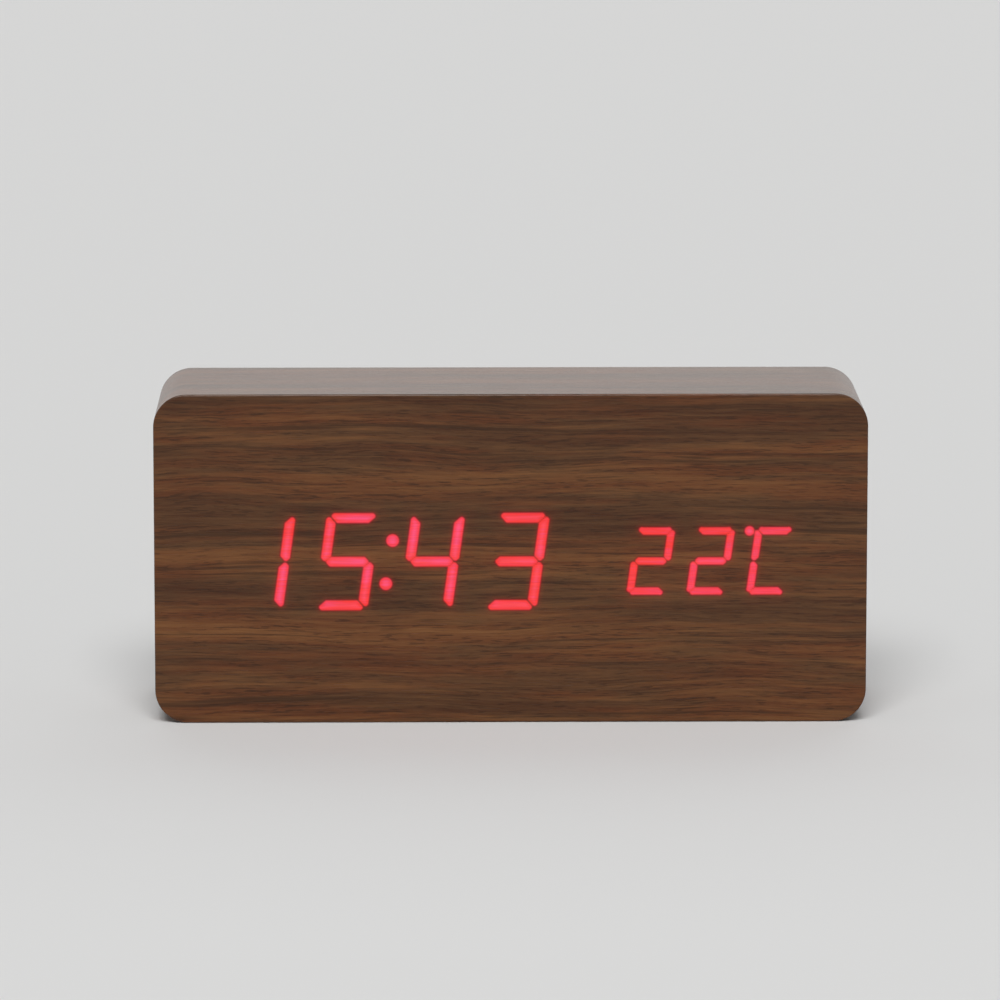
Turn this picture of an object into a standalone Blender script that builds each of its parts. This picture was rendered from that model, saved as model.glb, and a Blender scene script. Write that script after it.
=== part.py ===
"""Wooden digital alarm clock: a rounded block of board under walnut foil, with a red display behind the foil.

Metres, +Z up. The origin is on the ground under the middle of the casing, the display faces -Y,
and +X is to the right of someone who reads it.
"""

import math

import bmesh
import bpy
from mathutils import Vector

# Casing
CASE_WIDTH = 0.150
CASE_HEIGHT = 0.070
CASE_DEPTH = 0.040
CASE_CORNER_RADIUS = 0.007
FOIL = 0.0004
FRONT_BOARD_THICKNESS = 0.004
REAR_BOARD_THICKNESS = 0.008
FRAME_SIDE_WALL = 0.0075
POCKET_ROOM = 0.0045
POCKET_CORNER_RADIUS = 0.004

# Clearances
GLUE_LINE = 0.0001
SEAT = 0.0003
OVERRUN = 0.0005

# Display. The first digits' places, from its middle, and the pitches are shares of its width,
# and the digits' half widths and the degree dot's place are shares of the pitches.
DISPLAY_SIDE_MARGIN = 0.015
DISPLAY_DROP = 0.00055
DIGIT_SLANT_DEGREES = 8.0
LARGE_DIGITS = 4
LARGE_FIRST_SHARE = -0.435
LARGE_PITCH_SHARE = 0.1483
LARGE_HALF_WIDTH_SHARE = 0.258
LARGE_ROW_SPACING = 0.0093
LARGE_STROKE = 0.0021
SMALL_DIGITS = 3
SMALL_FIRST_SHARE = 0.2454
SMALL_PITCH_SHARE = 0.105
SMALL_HALF_WIDTH_SHARE = 0.27
SMALL_ROW_SPACING = 0.0064
SMALL_STROKE = 0.0015
STROKE_GAP = 0.0004
COLON_RADIUS = 0.00115
COLON_RISE = 0.0046
COLON_AFTER_DIGIT = 2
DEGREE_RADIUS = 0.0009
DEGREE_BEFORE_LETTER_SHARE = 0.42
DEGREE_RISE = 0.0064
SHELL_WALL = 0.0015
SHELL_MARGIN = 0.0007
SHELL_ROOM = 0.0005
SHELL_PLATE = 0.0022
GUIDE_WEB = 0.0007
GUIDE_CLEARANCE = 0.00008

# Main board and what it carries
BOARD_THICKNESS = 0.0016
BOARD_SIDE_ROOM = 0.001
MAIN_BOARD_CORNER_RADIUS = 0.0015
MAIN_SCREW_INSET_X = 0.008
MAIN_SCREW_INSET_Z = 0.002
MAIN_SCREW_WALL = 0.0025
LED_LENGTH = 0.0016
LED_WIDTH = 0.0008
LED_HEIGHT = 0.0006
CHIP_RESISTOR_LENGTH = 0.0016
CHIP_RESISTOR_WIDTH = 0.0008
CHIP_RESISTOR_HEIGHT = 0.0005
CONTROLLER_LENGTH = 0.0179
CONTROLLER_WIDTH = 0.0075
CONTROLLER_HEIGHT = 0.0023
CONTROLLER_LEGS_A_SIDE = 14
CLOCK_CHIP_LENGTH = 0.005
CLOCK_CHIP_WIDTH = 0.004
CLOCK_CHIP_HEIGHT = 0.0016
CLOCK_CHIP_LEGS_A_SIDE = 4
LEG_PITCH = 0.00127
LEG_WIDTH = 0.0004
LEG_REACH = 0.0014
LEG_THICKNESS = 0.00025
CRYSTAL_RADIUS = 0.0015
CRYSTAL_LENGTH = 0.008
CRYSTAL_EDGE = 0.0003
BUZZER_RADIUS = 0.006
BUZZER_HEIGHT = 0.0085
BUZZER_HOLE_RADIUS = 0.0011
BUZZER_HOLE_DEPTH = 0.002
CAPACITOR_RADIUS = 0.00315
CAPACITOR_HEIGHT = 0.0075
CAPACITOR_WAIST = 0.00025
CAPACITOR_WAIST_HEIGHT = 0.0012
CAPACITOR_WAIST_SHARES = (2.0, 1.5, 1.0, 0.5)
COIN_CELL_RADIUS = 0.010
COIN_CELL_HEIGHT = 0.0032
COIN_CELL_EDGE = 0.0004
COIN_HOLDER_WALL = 0.001
COIN_HOLDER_FLOOR = 0.001
COIN_HOLDER_RIM_SHARE = 0.6
COIN_CLIP_WIDTH = 0.005
COIN_CLIP_THICKNESS = 0.0004
SOCKET_HEIGHT = 0.005
SOCKET_WALL = 0.0007
SOCKET_DEPTH_SHARE = 0.7
BATTERY_SOCKET_LENGTH = 0.0075
CONTROL_SOCKET_LENGTH = 0.014
SOCKET_WIDTH = 0.0048

# Places on the main board, as shares of its half width and half height from its middle
COIN_CELL_SHARES = (-0.79, 0.0)
CLOCK_CHIP_SHARES = (-0.50, -0.20)
CRYSTAL_SHARES = (-0.28, -0.28)
CONTROLLER_SHARES = (-0.30, 0.35)
BUZZER_SHARES = (0.03, 0.0)
CAPACITOR_SHARES = (0.24, 0.25)
BATTERY_SOCKET_SHARES = (0.55, -0.10)
CONTROL_SOCKET_SHARES = (-0.45, -0.60)
CHIP_RESISTOR_COLUMN_SHARES = (-0.18, -0.10, -0.02, 0.06, 0.14, 0.22)
CHIP_RESISTOR_ROW_SHARES = (-0.55, -0.78)

# Cells, and the tray in the rear panel that holds them
CELL_LENGTH = 0.0445
CELL_RADIUS = 0.00525
CELL_NUB_RADIUS = 0.0019
CELL_NUB_HEIGHT = 0.0008
CELL_EDGE = 0.0004
CELL_COUNT = 4
CELL_PITCH = 0.011
CELL_ROOM = 0.0005
CELL_NUB_GAP = 0.0002
TRAY_CENTRE_X = 0.020
TRAY_WALL = 0.0015
TRAY_ROOM = 0.0008
CONTACT_THICKNESS = 0.0004
CONTACT_HEIGHT = 0.007
CONTACT_WIDTH = 0.008
TAB_WIDTH = 0.002
TAB_REACH = 0.001
TAB_RISE = 0.0025
SPRING_LENGTH = 0.0031
SPRING_WIRE_RADIUS = 0.0002
SPRING_WIDE_RADIUS = 0.0029
SPRING_NARROW_RADIUS = 0.0015
SPRING_TURNS = 3
SPRING_POINTS_A_TURN = 10

# Rear panel
PANEL_RECESS = 0.0015
PANEL_FLANGE = 0.0023
PANEL_CLEARANCE = 0.0003
PANEL_CORNER_RADIUS = 0.004
OPENING_CORNER_RADIUS = 0.003
LEDGE_WIDTH = 0.0083
LEDGE_HEIGHT = 0.004
PANEL_SCREW_SPACING = 0.040
COUNTERBORE_RADIUS = 0.0027
COUNTERBORE_DEPTH = 0.0012
SCOOP_RADIUS = 0.006
SCOOP_DEPTH = 0.0011
SCOOP_WIDTH = 0.012
SCOOP_OFFSET = 0.002
VENT_LENGTH = 0.008
VENT_WIDTH = 0.001
VENT_PITCH = 0.0022
VENT_COUNT = 5
BOSS_RADIUS = 0.0022
BOSS_INSET = 0.0029

# Battery door
DOOR_THICKNESS = 0.0015
DOOR_CLEARANCE = 0.0003
TONGUE_SPACING = 0.022
TONGUE_WIDTH = 0.004
TONGUE_REACH = 0.0012
TONGUE_THICKNESS = 0.0009
TONGUE_STEM = 0.00085
TONGUE_INSET = 0.0002
TONGUE_SLOT_MARGIN = 0.0008
LATCH_WIDTH = 0.007
LATCH_LEG = 0.0009
LATCH_INSET = 0.0002
LATCH_SLIT_WIDTH = 0.0008
LATCH_SLIT_LENGTH = 0.008
GRIP_RIBS = 4
GRIP_RIB_WIDTH = 0.0006
GRIP_RIB_HEIGHT = 0.0004
GRIP_RIB_PITCH = 0.0014
GRIP_RIB_LENGTH = 0.010
GRIP_RIB_INSET = 0.0022

# Control board and what it carries
CONTROL_BOARD_WIDTH = 0.038
CONTROL_BOARD_HEIGHT = 0.042
CONTROL_BOARD_DEPTH = 0.0053
BOARD_ROOM = 0.002
BUTTON_LENGTH = 0.008
BUTTON_WIDTH = 0.005
BUTTON_PROUD = 0.001
BUTTON_FLANGE = 0.001
BUTTON_FLANGE_THICKNESS = 0.0008
BUTTON_INSET = 0.006
BUTTON_PITCH = 0.012
BUTTON_RISE = 0.009
BUTTON_NAMES = ("down_button", "up_button", "set_button")
SWITCH_NAMES = ("down", "up", "set")
SWITCH_SIZE = 0.006
SWITCH_HEIGHT = 0.0034
PLUNGER_RADIUS = 0.00175
PLUNGER_LENGTH = 0.0024
PLUNGER_ROOM = 0.0006
PLUNGER_CLEARANCE = 0.00025
JACK_SIZE = 0.008
JACK_COLLAR_RADIUS = 0.0032
JACK_SOCKET_RADIUS = 0.0018
JACK_SOCKET_DEPTH = 0.0063
JACK_SET_BACK = 0.0002
JACK_PIN_RADIUS = 0.00065
JACK_PIN_SHORT = 0.001
SERVICE_DROP = 0.011
MICROPHONE_RADIUS = 0.003
MICROPHONE_HEIGHT = 0.0045
MICROPHONE_EDGE = 0.0003
MICROPHONE_HOLE_RADIUS = 0.00075
THERMISTOR_RADIUS = 0.0009
THERMISTOR_STANDOFF = 0.003
THERMISTOR_LEG_RADIUS = 0.00025
THERMISTOR_LEG_SPACING = 0.001

# Screws
PANEL_SCREW_HEAD_RADIUS = 0.0024
PANEL_SCREW_HEAD_HEIGHT = 0.001
PANEL_SCREW_RADIUS = 0.00125
PANEL_SCREW_LENGTH = 0.0045
PANEL_SCREW_CROSS = 0.0005
BOARD_SCREW_HEAD_RADIUS = 0.0016
BOARD_SCREW_HEAD_HEIGHT = 0.0009
BOARD_SCREW_RADIUS = 0.00085
BOARD_SCREW_LENGTH = 0.0052
BOARD_SCREW_CROSS = 0.0004
SCREW_HOLE_CLEARANCE = 0.00015
SCREW_HEAD_GAP = 0.0001
SCREW_TIP_SHARE = 0.8

# Leads
LEAD_RADIUS = 0.0006
CABLE_RADIUS = 0.0012
LEAD_PITCH = 0.0025
LEAD_POINT_SPACING = 0.0028
CABLE_POINT_SPACING = 0.0055
LEAD_SWING = 0.003
CABLE_SWING = 0.0035

# The leads' routes, as shares of the swing outwards and of the way from the tab to the socket in X, Y and Z
LEAD_ROUTE_SHARES = (
    (0.0, 0.0, 0.0, 0.0), (1.0, 0.0, 0.12, 0.0), (1.2, 0.0, 0.45, 0.2), (0.0, 0.0, 0.78, 0.5),
    (0.0, 0.65, 0.85, 0.85), (0.0, 1.0, 0.90, 1.0), (0.0, 1.0, 1.0, 1.0),
)

# The cable's route, as shares of its swing in X, of the way between the boards and of its swing in Z
CABLE_ROUTE_SHARES = (
    (0.0, 0.0, 0.0), (0.0, 0.2, 0.0), (-1.0, 0.5, -0.5), (0.0, 0.8, 0.0), (0.0, 1.0, 0.0),
)

# Counts of flats round each curve
CASE_CORNER_STEPS = 16
CORNER_STEPS = 6
HOLE_STEPS = 24
DOT_STEPS = 16
LEG_STEPS = 8
TURN_STEPS = 32

# Values that follow from the sizes above
WELD = 0.000001
FRONT_FACE = -CASE_DEPTH / 2
REAR_FACE = CASE_DEPTH / 2
SKIN = FOIL + GLUE_LINE
CENTRE_Z = CASE_HEIGHT / 2
DISPLAY_Z = CENTRE_Z - DISPLAY_DROP
DIGIT_SLANT = math.tan(math.radians(DIGIT_SLANT_DEGREES))

FRONT_BOARD_FRONT = FRONT_FACE + SKIN
FRONT_BOARD_BACK = FRONT_BOARD_FRONT + FRONT_BOARD_THICKNESS
REAR_BOARD_BACK = REAR_FACE - SKIN
REAR_BOARD_FRONT = REAR_BOARD_BACK - REAR_BOARD_THICKNESS
CORE_WIDTH = CASE_WIDTH - 2 * SKIN
POCKET_WIDTH = CORE_WIDTH - 2 * FRAME_SIDE_WALL

DISPLAY_WIDTH = CASE_WIDTH - 2 * DISPLAY_SIDE_MARGIN
LARGE_FIRST_X = LARGE_FIRST_SHARE * DISPLAY_WIDTH
LARGE_PITCH = LARGE_PITCH_SHARE * DISPLAY_WIDTH
LARGE_HALF_WIDTH = LARGE_HALF_WIDTH_SHARE * LARGE_PITCH
SMALL_FIRST_X = SMALL_FIRST_SHARE * DISPLAY_WIDTH
SMALL_PITCH = SMALL_PITCH_SHARE * DISPLAY_WIDTH
SMALL_HALF_WIDTH = SMALL_HALF_WIDTH_SHARE * SMALL_PITCH
LARGE_HEIGHT = 2 * LARGE_ROW_SPACING + LARGE_STROKE
LARGE_REACH = LARGE_HALF_WIDTH + LARGE_STROKE / 2 + DIGIT_SLANT * LARGE_HEIGHT / 2
SMALL_HEIGHT = 2 * SMALL_ROW_SPACING + SMALL_STROKE
SMALL_REACH = SMALL_HALF_WIDTH + SMALL_STROKE / 2 + DIGIT_SLANT * SMALL_HEIGHT / 2
SMALL_LAST_X = SMALL_FIRST_X + (SMALL_DIGITS - 1) * SMALL_PITCH
CAVITY_LEFT = LARGE_FIRST_X - LARGE_REACH - SHELL_MARGIN
CAVITY_RIGHT = SMALL_LAST_X + SMALL_REACH + SHELL_MARGIN
CAVITY_HALF_HEIGHT = LARGE_HEIGHT / 2 + SHELL_MARGIN / 2
SHELL_CAVITY_FRONT = FRONT_BOARD_FRONT + SHELL_PLATE
GUIDE_WEB_FRONT = SHELL_CAVITY_FRONT + GLUE_LINE

MAIN_BOARD_FRONT = FRONT_BOARD_BACK + SEAT
MAIN_BOARD_BACK = MAIN_BOARD_FRONT + BOARD_THICKNESS
MAIN_BOARD_WIDTH = POCKET_WIDTH - 2 * BOARD_SIDE_ROOM
MAIN_SCREW_Z = CAVITY_HALF_HEIGHT + SHELL_WALL + SHELL_ROOM + MAIN_SCREW_WALL
MAIN_BOARD_HEIGHT = 2 * (MAIN_SCREW_Z + MAIN_SCREW_INSET_Z)
MAIN_MOUNT = MAIN_BOARD_BACK + GLUE_LINE

PANEL_OUTER = REAR_FACE - PANEL_RECESS
PANEL_INNER = PANEL_OUTER - PANEL_FLANGE
LEDGE_FACE = PANEL_INNER - SEAT
DOOR_INNER = PANEL_OUTER - DOOR_THICKNESS
DOOR_SEAT = DOOR_INNER - DOOR_CLEARANCE
CELL_Y = DOOR_INNER - CELL_ROOM - CELL_RADIUS
TRAY_FLOOR = CELL_Y - CELL_RADIUS - CELL_ROOM
TRAY_FRONT = TRAY_FLOOR - TRAY_WALL
CELL_BAY = CELL_LENGTH + CELL_NUB_GAP + SPRING_LENGTH + CELL_NUB_GAP + 2 * (GLUE_LINE + CONTACT_THICKNESS)
TRAY_HALF_WIDTH = CELL_BAY / 2
TRAY_HALF_HEIGHT = CELL_COUNT * CELL_PITCH / 2
TRAY_LEFT = TRAY_CENTRE_X - TRAY_HALF_WIDTH - TRAY_WALL
TRAY_RIGHT = TRAY_CENTRE_X + TRAY_HALF_WIDTH + TRAY_WALL
TRAY_BOTTOM = CENTRE_Z - TRAY_HALF_HEIGHT - TRAY_WALL
TRAY_TOP = CENTRE_Z + TRAY_HALF_HEIGHT + TRAY_WALL
POCKET_HEIGHT = TRAY_TOP - TRAY_BOTTOM + 2 * POCKET_ROOM
CELL_OFFSET = TRAY_HALF_WIDTH - GLUE_LINE - CONTACT_THICKNESS - CELL_NUB_GAP - CELL_LENGTH / 2

CONTROL_BOARD_RIGHT = TRAY_LEFT - BOARD_ROOM
CONTROL_BOARD_LEFT = CONTROL_BOARD_RIGHT - CONTROL_BOARD_WIDTH
CONTROL_BOARD_BACK = PANEL_INNER - CONTROL_BOARD_DEPTH
CONTROL_BOARD_FRONT = CONTROL_BOARD_BACK - BOARD_THICKNESS
CONTROL_MOUNT = CONTROL_BOARD_BACK + GLUE_LINE
OPENING_LEFT = CONTROL_BOARD_LEFT - BOARD_ROOM
OPENING_RIGHT = TRAY_RIGHT + BOARD_ROOM
OPENING_BOTTOM = TRAY_BOTTOM - TRAY_ROOM
OPENING_TOP = TRAY_TOP + TRAY_ROOM
RECESS_LEFT = OPENING_LEFT - LEDGE_WIDTH
RECESS_RIGHT = OPENING_RIGHT + LEDGE_WIDTH
RECESS_BOTTOM = OPENING_BOTTOM - LEDGE_HEIGHT
RECESS_TOP = OPENING_TOP + LEDGE_HEIGHT

HINGE_X = TRAY_RIGHT + DOOR_CLEARANCE / 2
TONGUE_TOP = PANEL_INNER - SEAT
TONGUE_BOTTOM = TONGUE_TOP - TONGUE_THICKNESS
SLOT_BOTTOM = TONGUE_BOTTOM - TONGUE_SLOT_MARGIN
CONTACT_BACK = SLOT_BOTTOM - DOOR_CLEARANCE
CONTACT_FRONT = CONTACT_BACK - CONTACT_HEIGHT

PANEL_SCREW = {
    "head": PANEL_SCREW_HEAD_RADIUS, "height": PANEL_SCREW_HEAD_HEIGHT, "shank": PANEL_SCREW_RADIUS,
    "length": PANEL_SCREW_LENGTH, "cross": PANEL_SCREW_CROSS,
}
BOARD_SCREW = {
    "head": BOARD_SCREW_HEAD_RADIUS, "height": BOARD_SCREW_HEAD_HEIGHT, "shank": BOARD_SCREW_RADIUS,
    "length": BOARD_SCREW_LENGTH, "cross": BOARD_SCREW_CROSS,
}

# A piece turned or extruded along its own Z points this way in the clock.
REARWARD = (-math.pi / 2, 0, 0)
FORWARD = (math.pi / 2, 0, 0)
RIGHTWARD = (0, math.pi / 2, 0)
LEFTWARD = (0, -math.pi / 2, 0)

FINISHES = {
    "walnut_foil": ((0.115, 0.058, 0.032), 0.45, 0.0),
    "fibreboard": ((0.42, 0.30, 0.19), 0.85, 0.0),
    "black_plastic": ((0.020, 0.020, 0.022), 0.50, 0.0),
    "clear_plastic": ((0.80, 0.16, 0.18), 0.15, 0.0),
    "circuit_board": ((0.020, 0.14, 0.060), 0.45, 0.0),
    "chip_black": ((0.030, 0.030, 0.032), 0.60, 0.0),
    "bright_metal": ((0.72, 0.72, 0.72), 0.25, 1.0),
    "brass": ((0.78, 0.60, 0.30), 0.30, 1.0),
    "screw_steel": ((0.35, 0.35, 0.36), 0.35, 1.0),
    "cell_label": ((0.030, 0.10, 0.24), 0.35, 0.0),
    "white_plastic": ((0.78, 0.76, 0.70), 0.45, 0.0),
    "capacitor_sleeve": ((0.030, 0.050, 0.14), 0.35, 0.0),
    "red_wire": ((0.55, 0.020, 0.020), 0.40, 0.0),
    "black_wire": ((0.025, 0.025, 0.025), 0.45, 0.0),
    "grey_wire": ((0.32, 0.33, 0.34), 0.45, 0.0),
}


def clear_scene():
    for obj in list(bpy.data.objects):
        bpy.data.objects.remove(obj, do_unlink=True)


def new_collection(name):
    collection = bpy.data.collections.new(name)
    bpy.context.scene.collection.children.link(collection)
    return collection


def new_material(name, colour, roughness, metallic):
    material = bpy.data.materials.new(name)
    material.use_nodes = True
    shader = material.node_tree.nodes["Principled BSDF"]
    shader.inputs["Base Color"].default_value = (*colour, 1.0)
    shader.inputs["Roughness"].default_value = roughness
    shader.inputs["Metallic"].default_value = metallic
    material.diffuse_color = (*colour, 1.0)
    return material


clear_scene()
PIECES = new_collection("wooden_alarm_clock")
CUTTERS = new_collection("cutters")
MATERIALS = {name: new_material(name, *values) for name, values in FINISHES.items()}
ORIGIN = bpy.data.objects.new("clock_origin", None)
PIECES.objects.link(ORIGIN)


def place(name, mesh, finish, location=(0, 0, 0), rotation=(0, 0, 0)):
    """Puts a mesh in the clock. Without a finish it is a cutter or a shape to be joined."""
    obj = bpy.data.objects.new(name, mesh)
    obj.location = location
    obj.rotation_euler = rotation
    if finish is None:
        obj.hide_render = True
        obj.display_type = "WIRE"
        CUTTERS.objects.link(obj)
        return obj
    if mesh.materials:
        mesh.materials.clear()
    mesh.materials.append(MATERIALS[finish])
    obj.parent = ORIGIN
    PIECES.objects.link(obj)
    return obj


def mesh_of(name, shape):
    mesh = bpy.data.meshes.new(name)
    shape.to_mesh(mesh)
    shape.free()
    return mesh


def evaluated_mesh(obj):
    """The object's mesh with its modifiers applied, its loose caps welded."""
    bpy.context.view_layer.update()
    graph = bpy.context.evaluated_depsgraph_get()
    mesh = bpy.data.meshes.new_from_object(obj.evaluated_get(graph))
    shape = bmesh.new()
    shape.from_mesh(mesh)
    bmesh.ops.remove_doubles(shape, verts=shape.verts, dist=WELD)
    bmesh.ops.recalc_face_normals(shape, faces=shape.faces)
    shape.to_mesh(mesh)
    shape.free()
    return mesh


def shade_round(obj):
    obj.data.shade_smooth()
    obj.data.set_sharp_from_angle(angle=math.radians(35))


def block(name, x_span, y_span, z_span, finish=None):
    """A box between two values on each axis."""
    shape = bmesh.new()
    bmesh.ops.create_cube(shape, size=1)
    size = [span[1] - span[0] for span in (x_span, y_span, z_span)]
    bmesh.ops.scale(shape, verts=shape.verts, vec=size)
    centre = [(span[0] + span[1]) / 2 for span in (x_span, y_span, z_span)]
    return place(name, mesh_of(name, shape), finish, centre)


def around(centre, size):
    return (centre - size / 2, centre + size / 2)


def extruded(name, loops, y_span, finish=None):
    """A flat outline in X and Z, its holes among its loops, between two values of Y."""
    curve = bpy.data.curves.new(name, "CURVE")
    curve.dimensions = "2D"
    curve.fill_mode = "BOTH"
    curve.extrude = (y_span[1] - y_span[0]) / 2
    for loop in loops:
        spline = curve.splines.new("POLY")
        spline.points.add(len(loop) - 1)
        for point, (x, z) in zip(spline.points, loop):
            point.co = (x, z, 0, 1)
        spline.use_cyclic_u = True
    outline = bpy.data.objects.new(name, curve)
    CUTTERS.objects.link(outline)
    mesh = evaluated_mesh(outline)
    bpy.data.objects.remove(outline)
    return place(name, mesh, finish, (0, sum(y_span) / 2, 0), FORWARD)


def turned(name, profile, location, rotation, finish=None, steps=TURN_STEPS):
    """A profile of (radius, height) from the top of the axis down its outer side, spun round its own Z."""
    shape = bmesh.new()
    points = [shape.verts.new((radius, 0, height)) for radius, height in profile]
    for first, second in zip(points, points[1:]):
        shape.edges.new((first, second))
    obj = place(name, mesh_of(name, shape), finish, location, rotation)
    spin = obj.modifiers.new("turn", "SCREW")
    spin.axis = "Z"
    spin.steps = steps
    spin.render_steps = steps
    spin.use_merge_vertices = True
    spin.merge_threshold = WELD
    return obj


def rod(name, radius, length, location, rotation, finish=None, steps=HOLE_STEPS):
    """A cylinder that starts at its location and runs along its own Z."""
    shape = bmesh.new()
    bmesh.ops.create_cone(
        shape, cap_ends=True, segments=steps, radius1=radius, radius2=radius, depth=length)
    bmesh.ops.translate(shape, verts=shape.verts, vec=(0, 0, length / 2))
    return place(name, mesh_of(name, shape), finish, location, rotation)


def tube(name, points, radius, finish=None, resolution=2):
    """A round wire through the points."""
    curve = bpy.data.curves.new(name, "CURVE")
    curve.dimensions = "3D"
    curve.bevel_depth = radius
    curve.bevel_resolution = resolution
    curve.use_fill_caps = True
    spline = curve.splines.new("POLY")
    spline.points.add(len(points) - 1)
    for point, position in zip(spline.points, points):
        point.co = (*position, 1)
    obj = place(name, curve, finish)
    return obj


def solid_tube(name, points, radius, resolution=2):
    """A round wire as a closed mesh that can be joined to a piece."""
    wire = tube(name, points, radius, None, resolution)
    mesh = evaluated_mesh(wire)
    bpy.data.objects.remove(wire)
    return place(name, mesh, None)


def combine(piece, other, operation):
    change = piece.modifiers.new(other.name, "BOOLEAN")
    change.operation = operation
    change.object = other
    return change


def cut(piece, *cutters):
    for cutter in cutters:
        combine(piece, cutter, "DIFFERENCE")


def join(piece, *additions):
    for addition in additions:
        combine(piece, addition, "UNION")


def gathered(name, objects):
    """Several separate helper shapes as one, for a single cut or join."""
    shape = bmesh.new()
    for obj in objects:
        mesh = evaluated_mesh(obj)
        mesh.transform(obj.matrix_world)
        shape.from_mesh(mesh)
        bpy.data.meshes.remove(mesh)
        bpy.data.objects.remove(obj)
    return place(name, mesh_of(name, shape), None)


def settled(obj):
    """The finished mesh of a helper shape, which is then removed, for copies to share."""
    mesh = evaluated_mesh(obj)
    bpy.data.objects.remove(obj)
    return mesh


def arc(centre_x, centre_z, radius, start, sweep, steps):
    """Points along an arc, both ends included, with angles in quarter turns."""
    angles = [math.pi / 2 * (start + sweep * step / steps) for step in range(steps + 1)]
    return [(centre_x + radius * math.cos(angle), centre_z + radius * math.sin(angle)) for angle in angles]


def rounded_rectangle(x_span, z_span, radius, steps=CORNER_STEPS):
    left, right = x_span[0] + radius, x_span[1] - radius
    bottom, top = z_span[0] + radius, z_span[1] - radius
    return (
        arc(right, top, radius, 0, 1, steps)
        + arc(left, top, radius, 1, 1, steps)
        + arc(left, bottom, radius, 2, 1, steps)
        + arc(right, bottom, radius, 3, 1, steps)
    )


def rectangle(x_span, z_span):
    return [(x_span[0], z_span[0]), (x_span[1], z_span[0]), (x_span[1], z_span[1]), (x_span[0], z_span[1])]


def circle(x, z, radius, steps=HOLE_STEPS):
    return arc(x, z, radius, 0, 4, steps)[:-1]


def oblong(x, z, length, width, steps=CORNER_STEPS):
    """A slot's outline, its length along X and its ends half round."""
    reach = (length - width) / 2
    return arc(x + reach, z, width / 2, -1, 2, 2 * steps) + arc(x - reach, z, width / 2, 1, 2, 2 * steps)


def smooth_route(points, spacing):
    """A smooth curve through the points, as points about the spacing apart."""
    knots = [Vector(point) for point in points]
    knots = [2 * knots[0] - knots[1]] + knots + [2 * knots[-1] - knots[-2]]
    route = []
    for before, start, end, after in zip(knots, knots[1:], knots[2:], knots[3:]):
        pieces = max(2, round((end - start).length / spacing))
        for piece in range(pieces):
            t = piece / pieces
            route.append(
                0.5 * (2 * start + (end - before) * t + (2 * before - 5 * start + 4 * end - after) * t**2
                       + (3 * start - before - 3 * end + after) * t**3)
            )
    route.append(knots[-2])
    return route


# Display outlines


def segments(digit_x, digit_z, half_width, row, stroke, grow=0.0):
    """The seven strokes of one slanted digit as (middle, outline). A positive grow widens each outline."""
    half = stroke / 2 + grow
    middles = [
        (0, row, True), (0, 0, True), (0, -row, True),
        (-half_width, row / 2, False), (half_width, row / 2, False),
        (-half_width, -row / 2, False), (half_width, -row / 2, False),
    ]
    found = []
    for across, up, level in middles:
        reach = (half_width if level else row / 2) - STROKE_GAP / 2 + grow
        shoulder = reach - half
        corners = [
            (-reach, 0), (-shoulder, -half), (shoulder, -half), (reach, 0), (shoulder, half), (-shoulder, half),
        ]
        if not level:
            corners = [(-b, a) for a, b in corners]
        outline = []
        for a, b in corners:
            rise = up + b
            outline.append((digit_x + across + a + DIGIT_SLANT * rise, digit_z + rise))
        found.append(((digit_x + across + DIGIT_SLANT * up, digit_z + up), outline))
    return found


def dot(x, z, radius, grow=0.0):
    return ((x, z), circle(x, z, radius + grow, DOT_STEPS))


def display_marks(grow=0.0):
    """Each stroke and dot of the display as (middle, outline)."""
    marks = []
    for digit in range(LARGE_DIGITS):
        x = LARGE_FIRST_X + digit * LARGE_PITCH
        marks += segments(x, DISPLAY_Z, LARGE_HALF_WIDTH, LARGE_ROW_SPACING, LARGE_STROKE, grow)
    for digit in range(SMALL_DIGITS):
        x = SMALL_FIRST_X + digit * SMALL_PITCH
        marks += segments(x, DISPLAY_Z, SMALL_HALF_WIDTH, SMALL_ROW_SPACING, SMALL_STROKE, grow)
    colon_x = LARGE_FIRST_X + (COLON_AFTER_DIGIT - 0.5) * LARGE_PITCH
    for rise in (COLON_RISE, -COLON_RISE):
        marks.append(dot(colon_x + DIGIT_SLANT * rise, DISPLAY_Z + rise, COLON_RADIUS, grow))
    degree_x = SMALL_LAST_X - DEGREE_BEFORE_LETTER_SHARE * SMALL_PITCH + DIGIT_SLANT * DEGREE_RISE
    marks.append(dot(degree_x, DISPLAY_Z + DEGREE_RISE, DEGREE_RADIUS, grow))
    return marks


# Casing


def case_outline(inset=0.0):
    return rounded_rectangle(
        around(0, CASE_WIDTH - 2 * inset), around(CENTRE_Z, CASE_HEIGHT - 2 * inset),
        CASE_CORNER_RADIUS - inset, CASE_CORNER_STEPS)


def panel_outline(clearance=0.0):
    return rounded_rectangle(
        (RECESS_LEFT + clearance, RECESS_RIGHT - clearance),
        (RECESS_BOTTOM + clearance, RECESS_TOP - clearance),
        PANEL_CORNER_RADIUS + PANEL_CLEARANCE - clearance)


def shell_outline(room=0.0):
    reach = SHELL_WALL + room
    return rectangle(
        (CAVITY_LEFT - reach, CAVITY_RIGHT + reach),
        around(DISPLAY_Z, 2 * (CAVITY_HALF_HEIGHT + reach)))


def main_screw_places():
    x = MAIN_BOARD_WIDTH / 2 - MAIN_SCREW_INSET_X
    return [(side * x, DISPLAY_Z + level * MAIN_SCREW_Z) for level in (1, -1) for side in (-1, 1)]


def panel_screw_places():
    left = RECESS_LEFT + LEDGE_WIDTH / 2
    right = RECESS_RIGHT - LEDGE_WIDTH / 2
    half = PANEL_SCREW_SPACING / 2
    return [(x, CENTRE_Z + level * half) for level in (1, -1) for x in (left, right)]


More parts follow.
